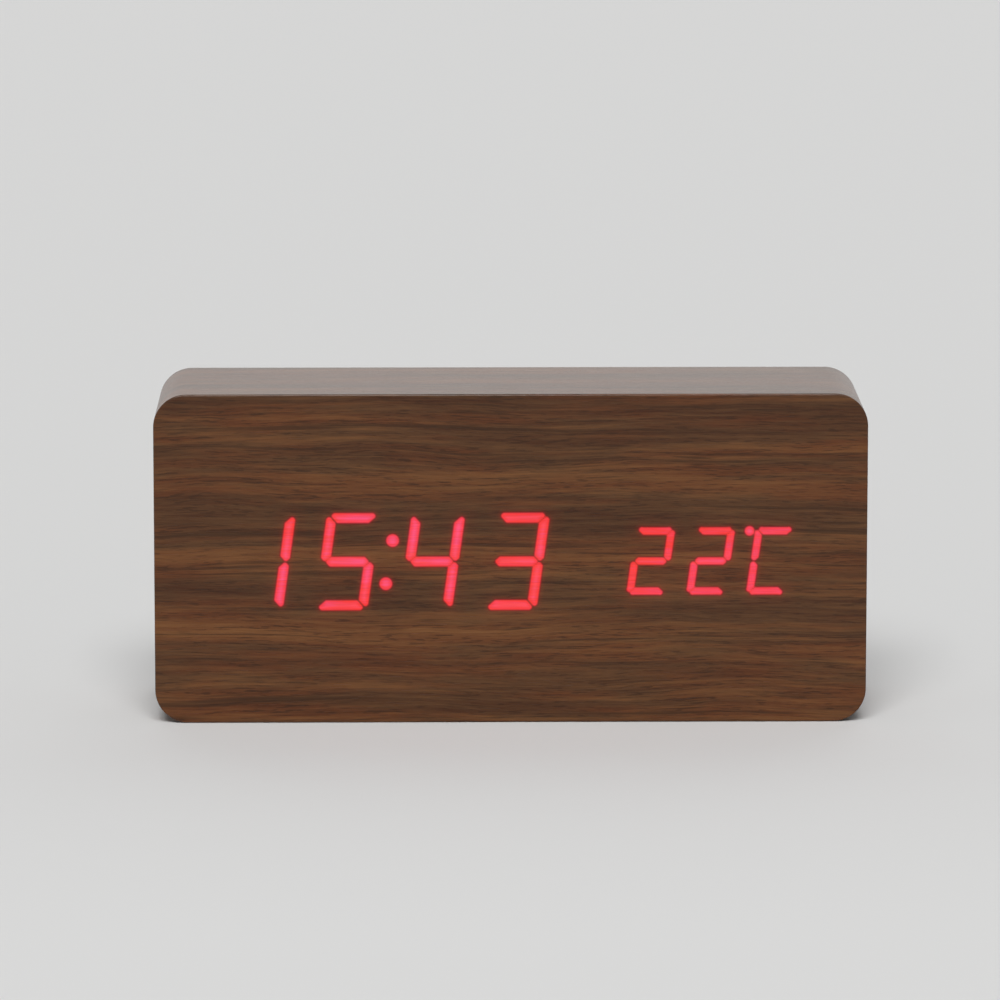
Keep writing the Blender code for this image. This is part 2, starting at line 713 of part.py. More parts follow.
def pilot_holes(name, places, screw, mouth, depth):
    """Blind holes along Y from a face at the mouth, in the direction of the depth's sign."""
    holes = []
    start = mouth - math.copysign(OVERRUN, depth)
    for x, z in places:
        rotation = REARWARD if depth > 0 else FORWARD
        radius = screw["shank"] + SCREW_HOLE_CLEARANCE
        holes.append(rod(name, radius, abs(depth) + OVERRUN, (x, start, z), rotation))
    return gathered(name, holes)


def make_casing():
    extruded("front_film", [case_outline()], (FRONT_FACE, FRONT_FACE + FOIL), "walnut_foil")
    extruded(
        "side_wrap", [case_outline(), case_outline(FOIL)],
        (FRONT_FACE + SKIN, REAR_FACE - SKIN), "walnut_foil")
    extruded("rear_film", [case_outline(), panel_outline()], (REAR_FACE - FOIL, REAR_FACE), "walnut_foil")

    front_board = extruded(
        "front_board", [case_outline(SKIN), shell_outline(SHELL_ROOM)],
        (FRONT_BOARD_FRONT, FRONT_BOARD_BACK), "fibreboard")
    depth = BOARD_SCREW["length"] - (MAIN_BOARD_BACK - FRONT_BOARD_BACK) + SEAT
    cut(front_board, pilot_holes(
        "front_board_pilots", main_screw_places(), BOARD_SCREW, FRONT_BOARD_BACK, -depth))

    pocket = rounded_rectangle(
        around(0, POCKET_WIDTH), around(CENTRE_Z, POCKET_HEIGHT), POCKET_CORNER_RADIUS)
    extruded(
        "middle_frame", [case_outline(SKIN), pocket],
        (FRONT_BOARD_BACK + GLUE_LINE, REAR_BOARD_FRONT - GLUE_LINE), "fibreboard")

    opening = rounded_rectangle(
        (OPENING_LEFT, OPENING_RIGHT), (OPENING_BOTTOM, OPENING_TOP), OPENING_CORNER_RADIUS)
    rear_board = extruded(
        "rear_board", [case_outline(SKIN), opening], (REAR_BOARD_FRONT, REAR_BOARD_BACK), "fibreboard")
    recess = extruded("rear_board_recess", [panel_outline()], (LEDGE_FACE, REAR_BOARD_BACK + OVERRUN))
    depth = PANEL_SCREW["length"] - (PANEL_OUTER - COUNTERBORE_DEPTH - LEDGE_FACE) + SEAT
    cut(rear_board, recess, pilot_holes(
        "rear_board_pilots", panel_screw_places(), PANEL_SCREW, LEDGE_FACE, -depth))


# Display


def make_display():
    apertures = [outline for _, outline in display_marks(GUIDE_CLEARANCE)]
    shell = extruded(
        "display_shell", [shell_outline()] + apertures, (FRONT_BOARD_FRONT, FRONT_BOARD_BACK), "black_plastic")
    cavity = block(
        "shell_cavity", (CAVITY_LEFT, CAVITY_RIGHT), (SHELL_CAVITY_FRONT, FRONT_BOARD_BACK + OVERRUN),
        around(DISPLAY_Z, 2 * CAVITY_HALF_HEIGHT))
    # The exact solver leaves open edges where the strokes' ends lie in line.
    combine(shell, cavity, "DIFFERENCE").solver = "MANIFOLD"

    web_back = GUIDE_WEB_FRONT + GUIDE_WEB
    guide = block(
        "light_guide", (CAVITY_LEFT + GLUE_LINE, CAVITY_RIGHT - GLUE_LINE), (GUIDE_WEB_FRONT, web_back),
        around(DISPLAY_Z, 2 * (CAVITY_HALF_HEIGHT - GLUE_LINE)), "clear_plastic")
    strokes = [outline for _, outline in display_marks()]
    join(guide, extruded(
        "guide_strokes", strokes, (FRONT_BOARD_FRONT + GLUE_LINE / 2, GUIDE_WEB_FRONT + GUIDE_WEB / 2)))


# Screws


def screw_mesh(name, sizes):
    """A pan head screw with a crossed slot, its seat at the origin and its head towards its own +Z."""
    head, height, shank, length = (sizes[key] for key in ("head", "height", "shank", "length"))
    cross = sizes["cross"]
    profile = [
        (0, height), (head - height / 2, height), (head, height / 2), (head, 0), (shank, 0),
        (shank, -length * SCREW_TIP_SHARE), (0, -length),
    ]
    body = turned(name, profile, (0, 0, 0), (0, 0, 0), None, HOLE_STEPS)
    slots = (
        block(name + "_slot_x", around(0, head), (-cross / 2, cross / 2), (height / 2, height + OVERRUN)),
        block(name + "_slot_y", (-cross / 2, cross / 2), around(0, head), (height / 2, height + OVERRUN)),
    )
    cut(body, *slots)
    mesh = settled(body)
    for slot in slots:
        bpy.data.objects.remove(slot)
    return mesh


def place_screws(name, mesh, places, seat, rotation):
    for number, (x, z) in enumerate(places, 1):
        screw = place(f"{name}_{number}", mesh, "screw_steel", (x, seat, z), rotation)
        shade_round(screw)


# Main board


def on_main_board(shares):
    return (shares[0] * MAIN_BOARD_WIDTH / 2, DISPLAY_Z + shares[1] * MAIN_BOARD_HEIGHT / 2)


def make_main_board():
    outline = rounded_rectangle(
        around(0, MAIN_BOARD_WIDTH), around(DISPLAY_Z, MAIN_BOARD_HEIGHT), MAIN_BOARD_CORNER_RADIUS)
    hole = BOARD_SCREW["shank"] + SCREW_HOLE_CLEARANCE
    holes = [circle(x, z, hole) for x, z in main_screw_places()]
    board = extruded("main_board", [outline] + holes, (MAIN_BOARD_FRONT, MAIN_BOARD_BACK), "circuit_board")
    middle = (MAIN_BOARD_FRONT + MAIN_BOARD_BACK) / 2
    leds = [
        block("led", around(x, LED_LENGTH), (MAIN_BOARD_FRONT - LED_HEIGHT, middle), around(z, LED_WIDTH))
        for (x, z), _ in display_marks()
    ]
    resistors = []
    for row in CHIP_RESISTOR_ROW_SHARES:
        for column in CHIP_RESISTOR_COLUMN_SHARES:
            x, z = on_main_board((column, row))
            resistors.append(block(
                "resistor", around(x, CHIP_RESISTOR_WIDTH), (middle, MAIN_BOARD_BACK + CHIP_RESISTOR_HEIGHT),
                around(z, CHIP_RESISTOR_LENGTH)))
    join(board, gathered("main_board_leds", leds), gathered("main_board_resistors", resistors))


def make_chip(name, shares, length, width, height, legs_a_side):
    """A flat chip, its legs along its two long sides and flat on the board."""
    x, z = on_main_board(shares)
    chip = block(
        name, around(x, length), (MAIN_MOUNT, MAIN_MOUNT + height), around(z, width), "chip_black")
    legs = []
    for number in range(legs_a_side):
        leg_x = x + (number - (legs_a_side - 1) / 2) * LEG_PITCH
        legs.append(block(
            "leg", around(leg_x, LEG_WIDTH), (MAIN_MOUNT + LEG_THICKNESS, MAIN_MOUNT + 2 * LEG_THICKNESS),
            around(z, width + 2 * LEG_REACH)))
    join(chip, gathered(name + "_legs", legs))


def make_crystal():
    x, z = on_main_board(CRYSTAL_SHARES)
    profile = [
        (0, CRYSTAL_LENGTH), (CRYSTAL_RADIUS - CRYSTAL_EDGE, CRYSTAL_LENGTH),
        (CRYSTAL_RADIUS, CRYSTAL_LENGTH - CRYSTAL_EDGE), (CRYSTAL_RADIUS, 0), (0, 0),
    ]
    place_x = x - CRYSTAL_LENGTH / 2
    crystal = turned(
        "crystal", profile, (place_x, MAIN_MOUNT + CRYSTAL_RADIUS, z), RIGHTWARD, "bright_metal", HOLE_STEPS)
    shade_round(crystal)


def make_buzzer():
    x, z = on_main_board(BUZZER_SHARES)
    profile = [
        (0, BUZZER_HEIGHT - BUZZER_HOLE_DEPTH), (BUZZER_HOLE_RADIUS, BUZZER_HEIGHT - BUZZER_HOLE_DEPTH),
        (BUZZER_HOLE_RADIUS, BUZZER_HEIGHT), (BUZZER_RADIUS, BUZZER_HEIGHT), (BUZZER_RADIUS, 0), (0, 0),
    ]
    shade_round(turned("buzzer", profile, (x, MAIN_MOUNT, z), REARWARD, "chip_black"))


def make_capacitor():
    x, z = on_main_board(CAPACITOR_SHARES)
    waist = CAPACITOR_RADIUS - CAPACITOR_WAIST
    upper, narrow_top, narrow_foot, lower = (
        share * CAPACITOR_WAIST_HEIGHT for share in CAPACITOR_WAIST_SHARES)
    profile = [
        (0, CAPACITOR_HEIGHT), (waist, CAPACITOR_HEIGHT),
        (CAPACITOR_RADIUS, CAPACITOR_HEIGHT - CAPACITOR_WAIST),
        (CAPACITOR_RADIUS, upper), (waist, narrow_top), (waist, narrow_foot),
        (CAPACITOR_RADIUS, lower), (CAPACITOR_RADIUS, 0), (0, 0),
    ]
    shade_round(turned(
        "filter_capacitor", profile, (x, MAIN_MOUNT, z), REARWARD, "capacitor_sleeve", HOLE_STEPS))


def make_coin_cell():
    """The clock's back-up cell in its round holder, under a clip that spans the holder."""
    x, z = on_main_board(COIN_CELL_SHARES)
    inner = COIN_CELL_RADIUS + SEAT
    outer = inner + COIN_HOLDER_WALL
    cell_base = COIN_HOLDER_FLOOR + SEAT
    cell_top = cell_base + COIN_CELL_HEIGHT
    rim = COIN_HOLDER_FLOOR + COIN_CELL_HEIGHT * COIN_HOLDER_RIM_SHARE
    profile = [
        (0, COIN_HOLDER_FLOOR), (inner, COIN_HOLDER_FLOOR), (inner, rim), (outer, rim), (outer, 0), (0, 0),
    ]
    holder = turned("coin_cell_holder", profile, (x, MAIN_MOUNT, z), REARWARD, "black_plastic")
    clip_front = MAIN_MOUNT + cell_top + SEAT
    clip_back = clip_front + COIN_CLIP_THICKNESS
    legs_front = MAIN_MOUNT + COIN_HOLDER_FLOOR / 2
    clip = block("coin_clip", around(x, 2 * outer), (legs_front, clip_back), around(z, COIN_CLIP_WIDTH))
    gap = block(
        "coin_clip_gap", around(x, 2 * inner + SEAT), (legs_front - OVERRUN, clip_front),
        around(z, COIN_CLIP_WIDTH + 2 * OVERRUN))
    cut(clip, gap)
    join(holder, clip)

    edge = COIN_CELL_RADIUS - COIN_CELL_EDGE
    cell_profile = [
        (0, COIN_CELL_HEIGHT), (edge, COIN_CELL_HEIGHT), (COIN_CELL_RADIUS, COIN_CELL_HEIGHT - COIN_CELL_EDGE),
        (COIN_CELL_RADIUS, 0), (0, 0),
    ]
    shade_round(turned(
        "coin_cell", cell_profile, (x, MAIN_MOUNT + cell_base, z), REARWARD, "bright_metal"))


def make_socket(name, shares, length):
    """An open plug-in socket that stands on the main board."""
    x, z = on_main_board(shares)
    back = MAIN_MOUNT + SOCKET_HEIGHT
    socket = block(name, around(x, length), (MAIN_MOUNT, back), around(z, SOCKET_WIDTH), "white_plastic")
    cut(socket, block(
        name + "_well", around(x, length - 2 * SOCKET_WALL),
        (back - SOCKET_HEIGHT * SOCKET_DEPTH_SHARE, back + OVERRUN), around(z, SOCKET_WIDTH - 2 * SOCKET_WALL)))


def make_main_board_group():
    make_main_board()
    make_chip(
        "controller_chip", CONTROLLER_SHARES, CONTROLLER_LENGTH, CONTROLLER_WIDTH, CONTROLLER_HEIGHT,
        CONTROLLER_LEGS_A_SIDE)
    make_chip(
        "clock_chip", CLOCK_CHIP_SHARES, CLOCK_CHIP_LENGTH, CLOCK_CHIP_WIDTH, CLOCK_CHIP_HEIGHT,
        CLOCK_CHIP_LEGS_A_SIDE)
    make_crystal()
    make_buzzer()
    make_capacitor()
    make_coin_cell()
    make_socket("battery_socket", BATTERY_SOCKET_SHARES, BATTERY_SOCKET_LENGTH)
    make_socket("control_socket", CONTROL_SOCKET_SHARES, CONTROL_SOCKET_LENGTH)


# Rear panel


def button_places():
    return [(CONTROL_BOARD_LEFT + BUTTON_INSET + number * BUTTON_PITCH, CENTRE_Z + BUTTON_RISE)
            for number in range(len(BUTTON_NAMES))]


def service_places():
    """The jack, the microphone and the thermistor, each below a button."""
    return [(x, CENTRE_Z - SERVICE_DROP) for x, _ in button_places()]


def boss_places():
    rise = CONTROL_BOARD_HEIGHT / 2 - BOSS_INSET
    return [
        (CONTROL_BOARD_LEFT + BOSS_INSET, CENTRE_Z + rise),
        (CONTROL_BOARD_RIGHT - BOSS_INSET, CENTRE_Z - rise),
    ]


def vent_loops():
    x, z = service_places()[2]
    levels = [z + (number - (VENT_COUNT - 1) / 2) * VENT_PITCH for number in range(VENT_COUNT)]
    return [oblong(x, level, VENT_LENGTH, VENT_WIDTH, 2) for level in levels]


def cell_levels():
    """The height of each cell's axis, from the top down."""
    return [CENTRE_Z + ((CELL_COUNT - 1) / 2 - number) * CELL_PITCH for number in range(CELL_COUNT)]


def tongue_levels():
    return [CENTRE_Z + side * TONGUE_SPACING / 2 for side in (1, -1)]


def panel_holes():
    jack, microphone, _ = service_places()
    holes = [
        oblong(x, z, BUTTON_LENGTH + 2 * SEAT, BUTTON_WIDTH + 2 * SEAT) for x, z in button_places()
    ]
    holes.append(circle(*jack, JACK_COLLAR_RADIUS + SEAT))
    holes.append(circle(*microphone, MICROPHONE_HOLE_RADIUS, DOT_STEPS))
    holes += [circle(x, z, PANEL_SCREW["shank"] + SEAT) for x, z in panel_screw_places()]
    return holes + vent_loops()


def make_rear_panel():
    flange_middle = (PANEL_INNER + PANEL_OUTER) / 2
    panel = extruded(
        "rear_panel", [panel_outline(PANEL_CLEARANCE)] + panel_holes(), (PANEL_INNER, PANEL_OUTER),
        "black_plastic")
    tray = block(
        "tray_body", (TRAY_LEFT, TRAY_RIGHT), (TRAY_FRONT, flange_middle), (TRAY_BOTTOM, TRAY_TOP))
    boss_front = CONTROL_BOARD_BACK + GLUE_LINE
    bosses = [
        rod("boss", BOSS_RADIUS, flange_middle - boss_front, (x, boss_front, z), REARWARD)
        for x, z in boss_places()
    ]
    join(panel, tray, gathered("panel_bosses", bosses))

    door_recess = block(
        "door_recess", (TRAY_LEFT - DOOR_CLEARANCE, TRAY_RIGHT + DOOR_CLEARANCE),
        (DOOR_SEAT, PANEL_OUTER + OVERRUN), (TRAY_BOTTOM - DOOR_CLEARANCE, TRAY_TOP + DOOR_CLEARANCE))
    cavity = block(
        "cell_cavity", around(TRAY_CENTRE_X, 2 * TRAY_HALF_WIDTH), (TRAY_FLOOR, PANEL_OUTER + OVERRUN),
        around(CENTRE_Z, 2 * TRAY_HALF_HEIGHT))
    wall_inner = TRAY_RIGHT - TRAY_WALL
    slots = [
        block("tongue_slot", (wall_inner - OVERRUN, HINGE_X), (SLOT_BOTTOM, DOOR_SEAT + OVERRUN),
              around(z, TONGUE_WIDTH + 2 * DOOR_CLEARANCE))
        for z in tongue_levels()
    ]
    slots.append(block(
        "latch_slot", (TRAY_LEFT - DOOR_CLEARANCE / 2, TRAY_LEFT + TRAY_WALL + OVERRUN),
        (SLOT_BOTTOM, DOOR_SEAT + OVERRUN), around(CENTRE_Z, LATCH_WIDTH + 2 * DOOR_CLEARANCE)))
    tab_y = TRAY_FLOOR + TAB_RISE
    tab_slots = [
        block("tab_slot", (wall_inner - OVERRUN, TRAY_RIGHT + OVERRUN),
              around(tab_y, CONTACT_THICKNESS + 2 * SEAT), around(z, TAB_WIDTH + 2 * SEAT))
        for z in (cell_levels()[0], cell_levels()[-1])
    ]
    counterbores = [
        rod("counterbore", COUNTERBORE_RADIUS, COUNTERBORE_DEPTH + OVERRUN,
            (x, PANEL_OUTER - COUNTERBORE_DEPTH, z), REARWARD, None, TURN_STEPS)
        for x, z in panel_screw_places()
    ]
    pilots = pilot_holes(
        "boss_pilots", boss_places(), BOARD_SCREW, boss_front, BOARD_SCREW["length"] - BOARD_THICKNESS + SEAT)
    scoop = rod(
        "finger_scoop", SCOOP_RADIUS, SCOOP_WIDTH,
        (TRAY_LEFT - SCOOP_OFFSET, PANEL_OUTER + SCOOP_RADIUS - SCOOP_DEPTH, CENTRE_Z - SCOOP_WIDTH / 2),
        (0, 0, 0), None, 2 * TURN_STEPS)
    cut(panel, cavity, door_recess, gathered("door_slots", slots), gathered("tab_slots", tab_slots),
        gathered("counterbores", counterbores), pilots, scoop)


def make_battery_door():
    """The door's own origin is on its hinge, along Z at the panel's face."""
    hinge = bpy.data.objects.new("door_hinge", None)
    hinge.location = (HINGE_X, PANEL_OUTER, CENTRE_Z)
    hinge.parent = ORIGIN
    PIECES.objects.link(hinge)

    door = block("battery_door", (TRAY_LEFT, TRAY_RIGHT), (DOOR_INNER, PANEL_OUTER), (TRAY_BOTTOM, TRAY_TOP),
                 "black_plastic")
    door_middle = (DOOR_INNER + PANEL_OUTER) / 2
    stem_right = TRAY_RIGHT - TONGUE_INSET
    stem_left = stem_right - TONGUE_STEM
    for number, z in enumerate(tongue_levels()):
        join(door,
             block(f"tongue_stem_{number}", (stem_left, stem_right), (TONGUE_BOTTOM, door_middle),
                   around(z, TONGUE_WIDTH)),
             block(f"tongue_{number}", (stem_left, HINGE_X + TONGUE_REACH), (TONGUE_BOTTOM, TONGUE_TOP),
                   around(z, TONGUE_WIDTH)))
    latch_left = TRAY_LEFT + LATCH_INSET
    join(door, block("latch_leg", (latch_left, latch_left + LATCH_LEG), (TONGUE_BOTTOM, door_middle),
                     around(CENTRE_Z, LATCH_WIDTH)))
    ribs = []
    for number in range(GRIP_RIBS):
        x = TRAY_LEFT + GRIP_RIB_INSET + number * GRIP_RIB_PITCH
        ribs.append(block("grip_rib", around(x, GRIP_RIB_WIDTH), (door_middle, PANEL_OUTER + GRIP_RIB_HEIGHT),
                          around(CENTRE_Z, GRIP_RIB_LENGTH)))
    join(door, gathered("grip_ribs", ribs))
    slit_reach = (GRIP_RIB_LENGTH + LATCH_SLIT_WIDTH) / 2 + LATCH_SLIT_WIDTH
    slits = [
        block("latch_slit", (TRAY_LEFT - OVERRUN, TRAY_LEFT + LATCH_SLIT_LENGTH),
              (DOOR_INNER - OVERRUN, PANEL_OUTER + OVERRUN),
              around(CENTRE_Z + side * slit_reach, LATCH_SLIT_WIDTH))
        for side in (1, -1)
    ]
    cut(door, gathered("latch_slits", slits))
    door.parent = hinge
    door.location -= hinge.location


# Cells and contacts


def make_cells():
    can_end = CELL_LENGTH - CELL_NUB_HEIGHT
    profile = [
        (0, CELL_LENGTH), (CELL_NUB_RADIUS, CELL_LENGTH), (CELL_NUB_RADIUS, can_end),
        (CELL_RADIUS - CELL_EDGE, can_end), (CELL_RADIUS, can_end - CELL_EDGE), (CELL_RADIUS, CELL_EDGE),
        (CELL_RADIUS - CELL_EDGE, 0), (0, 0),
    ]
    mesh = settled(turned("cell", profile, (0, 0, 0), (0, 0, 0), None, HOLE_STEPS))
    for number, z in enumerate(cell_levels()):
        side = 1 if number % 2 == 0 else -1
        start = TRAY_CENTRE_X + side * (CELL_OFFSET - CELL_LENGTH / 2)
        rotation = RIGHTWARD if side > 0 else LEFTWARD
        shade_round(place(f"aaa_cell_{number + 1}", mesh, "cell_label", (start, CELL_Y, z), rotation))


def spring_points(side, z):
    """The cone spring's wire, from inside its plate to its narrow end at the cell."""
    plate_face = TRAY_HALF_WIDTH - GLUE_LINE - CONTACT_THICKNESS
    total = SPRING_TURNS * SPRING_POINTS_A_TURN
    rise = SPRING_LENGTH - 2 * SPRING_WIRE_RADIUS
    points = []
    for step in range(-1, total + 1):
        share = max(step, 0) / total
        angle = 2 * math.pi * step / SPRING_POINTS_A_TURN
        radius = SPRING_WIDE_RADIUS + (SPRING_NARROW_RADIUS - SPRING_WIDE_RADIUS) * share
        height = SPRING_WIRE_RADIUS + rise * share
        if step < 0:
            height = -CONTACT_THICKNESS / 2
        points.append(Vector((
            TRAY_CENTRE_X + side * (plate_face - height), CELL_Y + radius * math.cos(angle),
            z + radius * math.sin(angle))))
    return points


def least_spring_gap(points):
    """The least space between one turn of the wire and another."""
    apart = SPRING_POINTS_A_TURN // 2
    gaps = [
        (first - second).length - 2 * SPRING_WIRE_RADIUS
        for number, first in enumerate(points) for second in points[number + apart:]
    ]
    return min(gaps)


def make_contact(name, side, levels, spring_level=None, tab_level=None):
    """A contact plate on the tray's end wall, with its spring and its soldering tab where it has them."""
    wall = TRAY_CENTRE_X + side * TRAY_HALF_WIDTH
    outer = wall - side * GLUE_LINE
    inner = outer - side * CONTACT_THICKNESS
    half = CONTACT_WIDTH / 2
    plate = block(
        name, sorted((inner, outer)), (CONTACT_FRONT, CONTACT_BACK),
        (min(levels) - half, max(levels) + half), "bright_metal")
    if spring_level is not None:
        points = spring_points(side, spring_level)
        print(f"{name}: least gap between turns {1000 * least_spring_gap(points):.2f} mm")
        join(plate, solid_tube(name + "_spring", points, SPRING_WIRE_RADIUS, 1))
    if tab_level is not None:
        join(plate, block(
            name + "_tab", (inner + CONTACT_THICKNESS / 2, TRAY_RIGHT + TAB_REACH),
            around(TRAY_FLOOR + TAB_RISE, CONTACT_THICKNESS), around(tab_level, TAB_WIDTH)))


def make_contacts():
    one, two, three, four = cell_levels()
    make_contact("positive_terminal", 1, [one], tab_level=one)
    make_contact("bridge_contact_1", -1, [one, two], spring_level=one)
    make_contact("bridge_contact_2", 1, [two, three], spring_level=two)
    make_contact("bridge_contact_3", -1, [three, four], spring_level=three)
    make_contact("negative_terminal", 1, [four], spring_level=four, tab_level=four)


# Control board


def make_button(name, x, z):
    button = extruded(
        name, [oblong(x, z, BUTTON_LENGTH, BUTTON_WIDTH)],
        (PANEL_INNER - SEAT - BUTTON_FLANGE_THICKNESS, PANEL_OUTER + BUTTON_PROUD), "black_plastic")
    flange_back = PANEL_INNER - SEAT
    flange = extruded(
        name + "_flange", [oblong(x, z, BUTTON_LENGTH + 2 * BUTTON_FLANGE, BUTTON_WIDTH + 2 * BUTTON_FLANGE)],
        (flange_back - BUTTON_FLANGE_THICKNESS, flange_back))
    join(button, flange)
    shade_round(button)


def make_switch(name, x, z):
    """A push switch under a button: its square body, and the plunger that the button presses."""
    body_back = CONTROL_MOUNT + SWITCH_HEIGHT
    plunger_back = PANEL_INNER - SEAT - BUTTON_FLANGE_THICKNESS - GLUE_LINE
    plunger_front = plunger_back - PLUNGER_LENGTH
    well = plunger_front - PLUNGER_ROOM
    body = block(
        name + "_switch", around(x, SWITCH_SIZE), (CONTROL_MOUNT, body_back), around(z, SWITCH_SIZE),
        "chip_black")
    cut(body, rod(
        name + "_switch_well", PLUNGER_RADIUS + PLUNGER_CLEARANCE, body_back + OVERRUN - well,
        (x, well, z), REARWARD))
    shade_round(rod(
        name + "_plunger", PLUNGER_RADIUS, PLUNGER_LENGTH, (x, plunger_front, z), REARWARD, "black_plastic"))


def make_control_board():
    middle_x = (CONTROL_BOARD_LEFT + CONTROL_BOARD_RIGHT) / 2
    outline = rounded_rectangle(
        around(middle_x, CONTROL_BOARD_WIDTH), around(CENTRE_Z, CONTROL_BOARD_HEIGHT), MAIN_BOARD_CORNER_RADIUS)
    hole = BOARD_SCREW["shank"] + SCREW_HOLE_CLEARANCE
    holes = [circle(x, z, hole) for x, z in boss_places()]
    extruded("control_board", [outline] + holes, (CONTROL_BOARD_FRONT, CONTROL_BOARD_BACK), "circuit_board")


def make_power_jack():
    x, z = service_places()[0]
    mouth = PANEL_OUTER - JACK_SET_BACK
    body_back = PANEL_INNER - SEAT
    jack = block(
        "power_jack", around(x, JACK_SIZE), (CONTROL_MOUNT, body_back), around(z, JACK_SIZE), "black_plastic")
    middle = (CONTROL_MOUNT + body_back) / 2
    join(jack, rod(
        "jack_collar", JACK_COLLAR_RADIUS, mouth - middle, (x, middle, z), REARWARD, None, TURN_STEPS))
    socket_floor = mouth - JACK_SOCKET_DEPTH
    cut(jack, rod(
        "jack_socket", JACK_SOCKET_RADIUS, JACK_SOCKET_DEPTH + OVERRUN, (x, socket_floor, z), REARWARD))
    pin_length = JACK_SOCKET_DEPTH - SEAT - JACK_PIN_SHORT
    tip = JACK_PIN_RADIUS / 2
    profile = [
        (0, pin_length), (tip, pin_length), (JACK_PIN_RADIUS, pin_length - tip), (JACK_PIN_RADIUS, 0), (0, 0),
    ]
    shade_round(turned(
        "jack_pin", profile, (x, socket_floor + SEAT, z), REARWARD, "brass", DOT_STEPS))


def make_microphone():
    x, z = service_places()[1]
    edge = MICROPHONE_RADIUS - MICROPHONE_EDGE
    profile = [
        (0, MICROPHONE_HEIGHT), (edge, MICROPHONE_HEIGHT),
        (MICROPHONE_RADIUS, MICROPHONE_HEIGHT - MICROPHONE_EDGE), (MICROPHONE_RADIUS, 0), (0, 0),
    ]
    shade_round(turned(
        "microphone", profile, (x, CONTROL_MOUNT, z), REARWARD, "bright_metal", HOLE_STEPS))


def make_thermistor():
    """The temperature sensor's bead on its two legs, behind the vents."""
    x, z = service_places()[2]
    shape = bmesh.new()
    bmesh.ops.create_uvsphere(shape, u_segments=DOT_STEPS, v_segments=LEG_STEPS, radius=THERMISTOR_RADIUS)
    bead_y = CONTROL_MOUNT + THERMISTOR_STANDOFF
    bead = place("thermistor", mesh_of("thermistor", shape), "chip_black", (x, bead_y, z))
    legs = [
        rod("thermistor_leg", THERMISTOR_LEG_RADIUS, THERMISTOR_STANDOFF,
            (x + side * THERMISTOR_LEG_SPACING / 2, CONTROL_MOUNT, z), REARWARD, None, LEG_STEPS)
        for side in (-1, 1)
    ]
    join(bead, gathered("thermistor_legs", legs))


def make_controls():
    make_control_board()
    for name, (x, z) in zip(BUTTON_NAMES, button_places()):
        make_button(name, x, z)
    for name, (x, z) in zip(SWITCH_NAMES, button_places()):
        make_switch(name, x, z)
    make_power_jack()
    make_microphone()
    make_thermistor()


# Leads


def make_leads():
    """The leads run from the tray's tabs round its side, and the cable straight across between the boards."""
    tab_x = TRAY_RIGHT + TAB_REACH + SEAT
    tab_y = TRAY_FLOOR + TAB_RISE
    socket_x, socket_z = on_main_board(BATTERY_SOCKET_SHARES)
    socket_y = MAIN_MOUNT + SOCKET_HEIGHT + SEAT
    levels = cell_levels()
    for name, level, side, finish in (
        ("battery_lead_red", levels[0], 1, "red_wire"), ("battery_lead_black", levels[-1], -1, "black_wire"),
    ):
        tab = Vector((tab_x, tab_y, level))
        way = Vector((socket_x + side * LEAD_PITCH / 2, socket_y, socket_z)) - tab
        route = [
            tab + Vector((swing * LEAD_SWING + across * way.x, depth * way.y, rise * way.z))
            for swing, across, depth, rise in LEAD_ROUTE_SHARES
        ]
        tube(name, smooth_route(route, LEAD_POINT_SPACING), LEAD_RADIUS, finish)

    cable_x, cable_z = on_main_board(CONTROL_SOCKET_SHARES)
    span = CONTROL_BOARD_FRONT - SEAT - socket_y
    route = [
        (cable_x + aside * CABLE_SWING, socket_y + depth * span, cable_z + rise * CABLE_SWING)
        for aside, depth, rise in CABLE_ROUTE_SHARES
    ]
    tube("control_cable", smooth_route(route, CABLE_POINT_SPACING), CABLE_RADIUS, "grey_wire")


def make_screws():
    board_screw = screw_mesh("board_screw", BOARD_SCREW)
    panel_screw = screw_mesh("panel_screw", PANEL_SCREW)
    place_screws(
        "main_board_screw", board_screw, main_screw_places(), MAIN_BOARD_BACK + SCREW_HEAD_GAP, REARWARD)
    place_screws(
        "control_board_screw", board_screw, boss_places(), CONTROL_BOARD_FRONT - SCREW_HEAD_GAP, FORWARD)
    place_screws(
        "panel_screw", panel_screw, panel_screw_places(),
        PANEL_OUTER - COUNTERBORE_DEPTH + SCREW_HEAD_GAP, REARWARD)


def main():
    make_casing()
    make_display()
    make_main_board_group()
    make_rear_panel()
    make_battery_door()
    make_cells()
    make_contacts()
    make_controls()
    make_leads()
    make_screws()


main()
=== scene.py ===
"""Wooden digital alarm clock: the finish of every piece, built round the clock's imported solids.

Metres, +Z up. The display faces -Y, and +X is to the right of someone who reads it.
"""

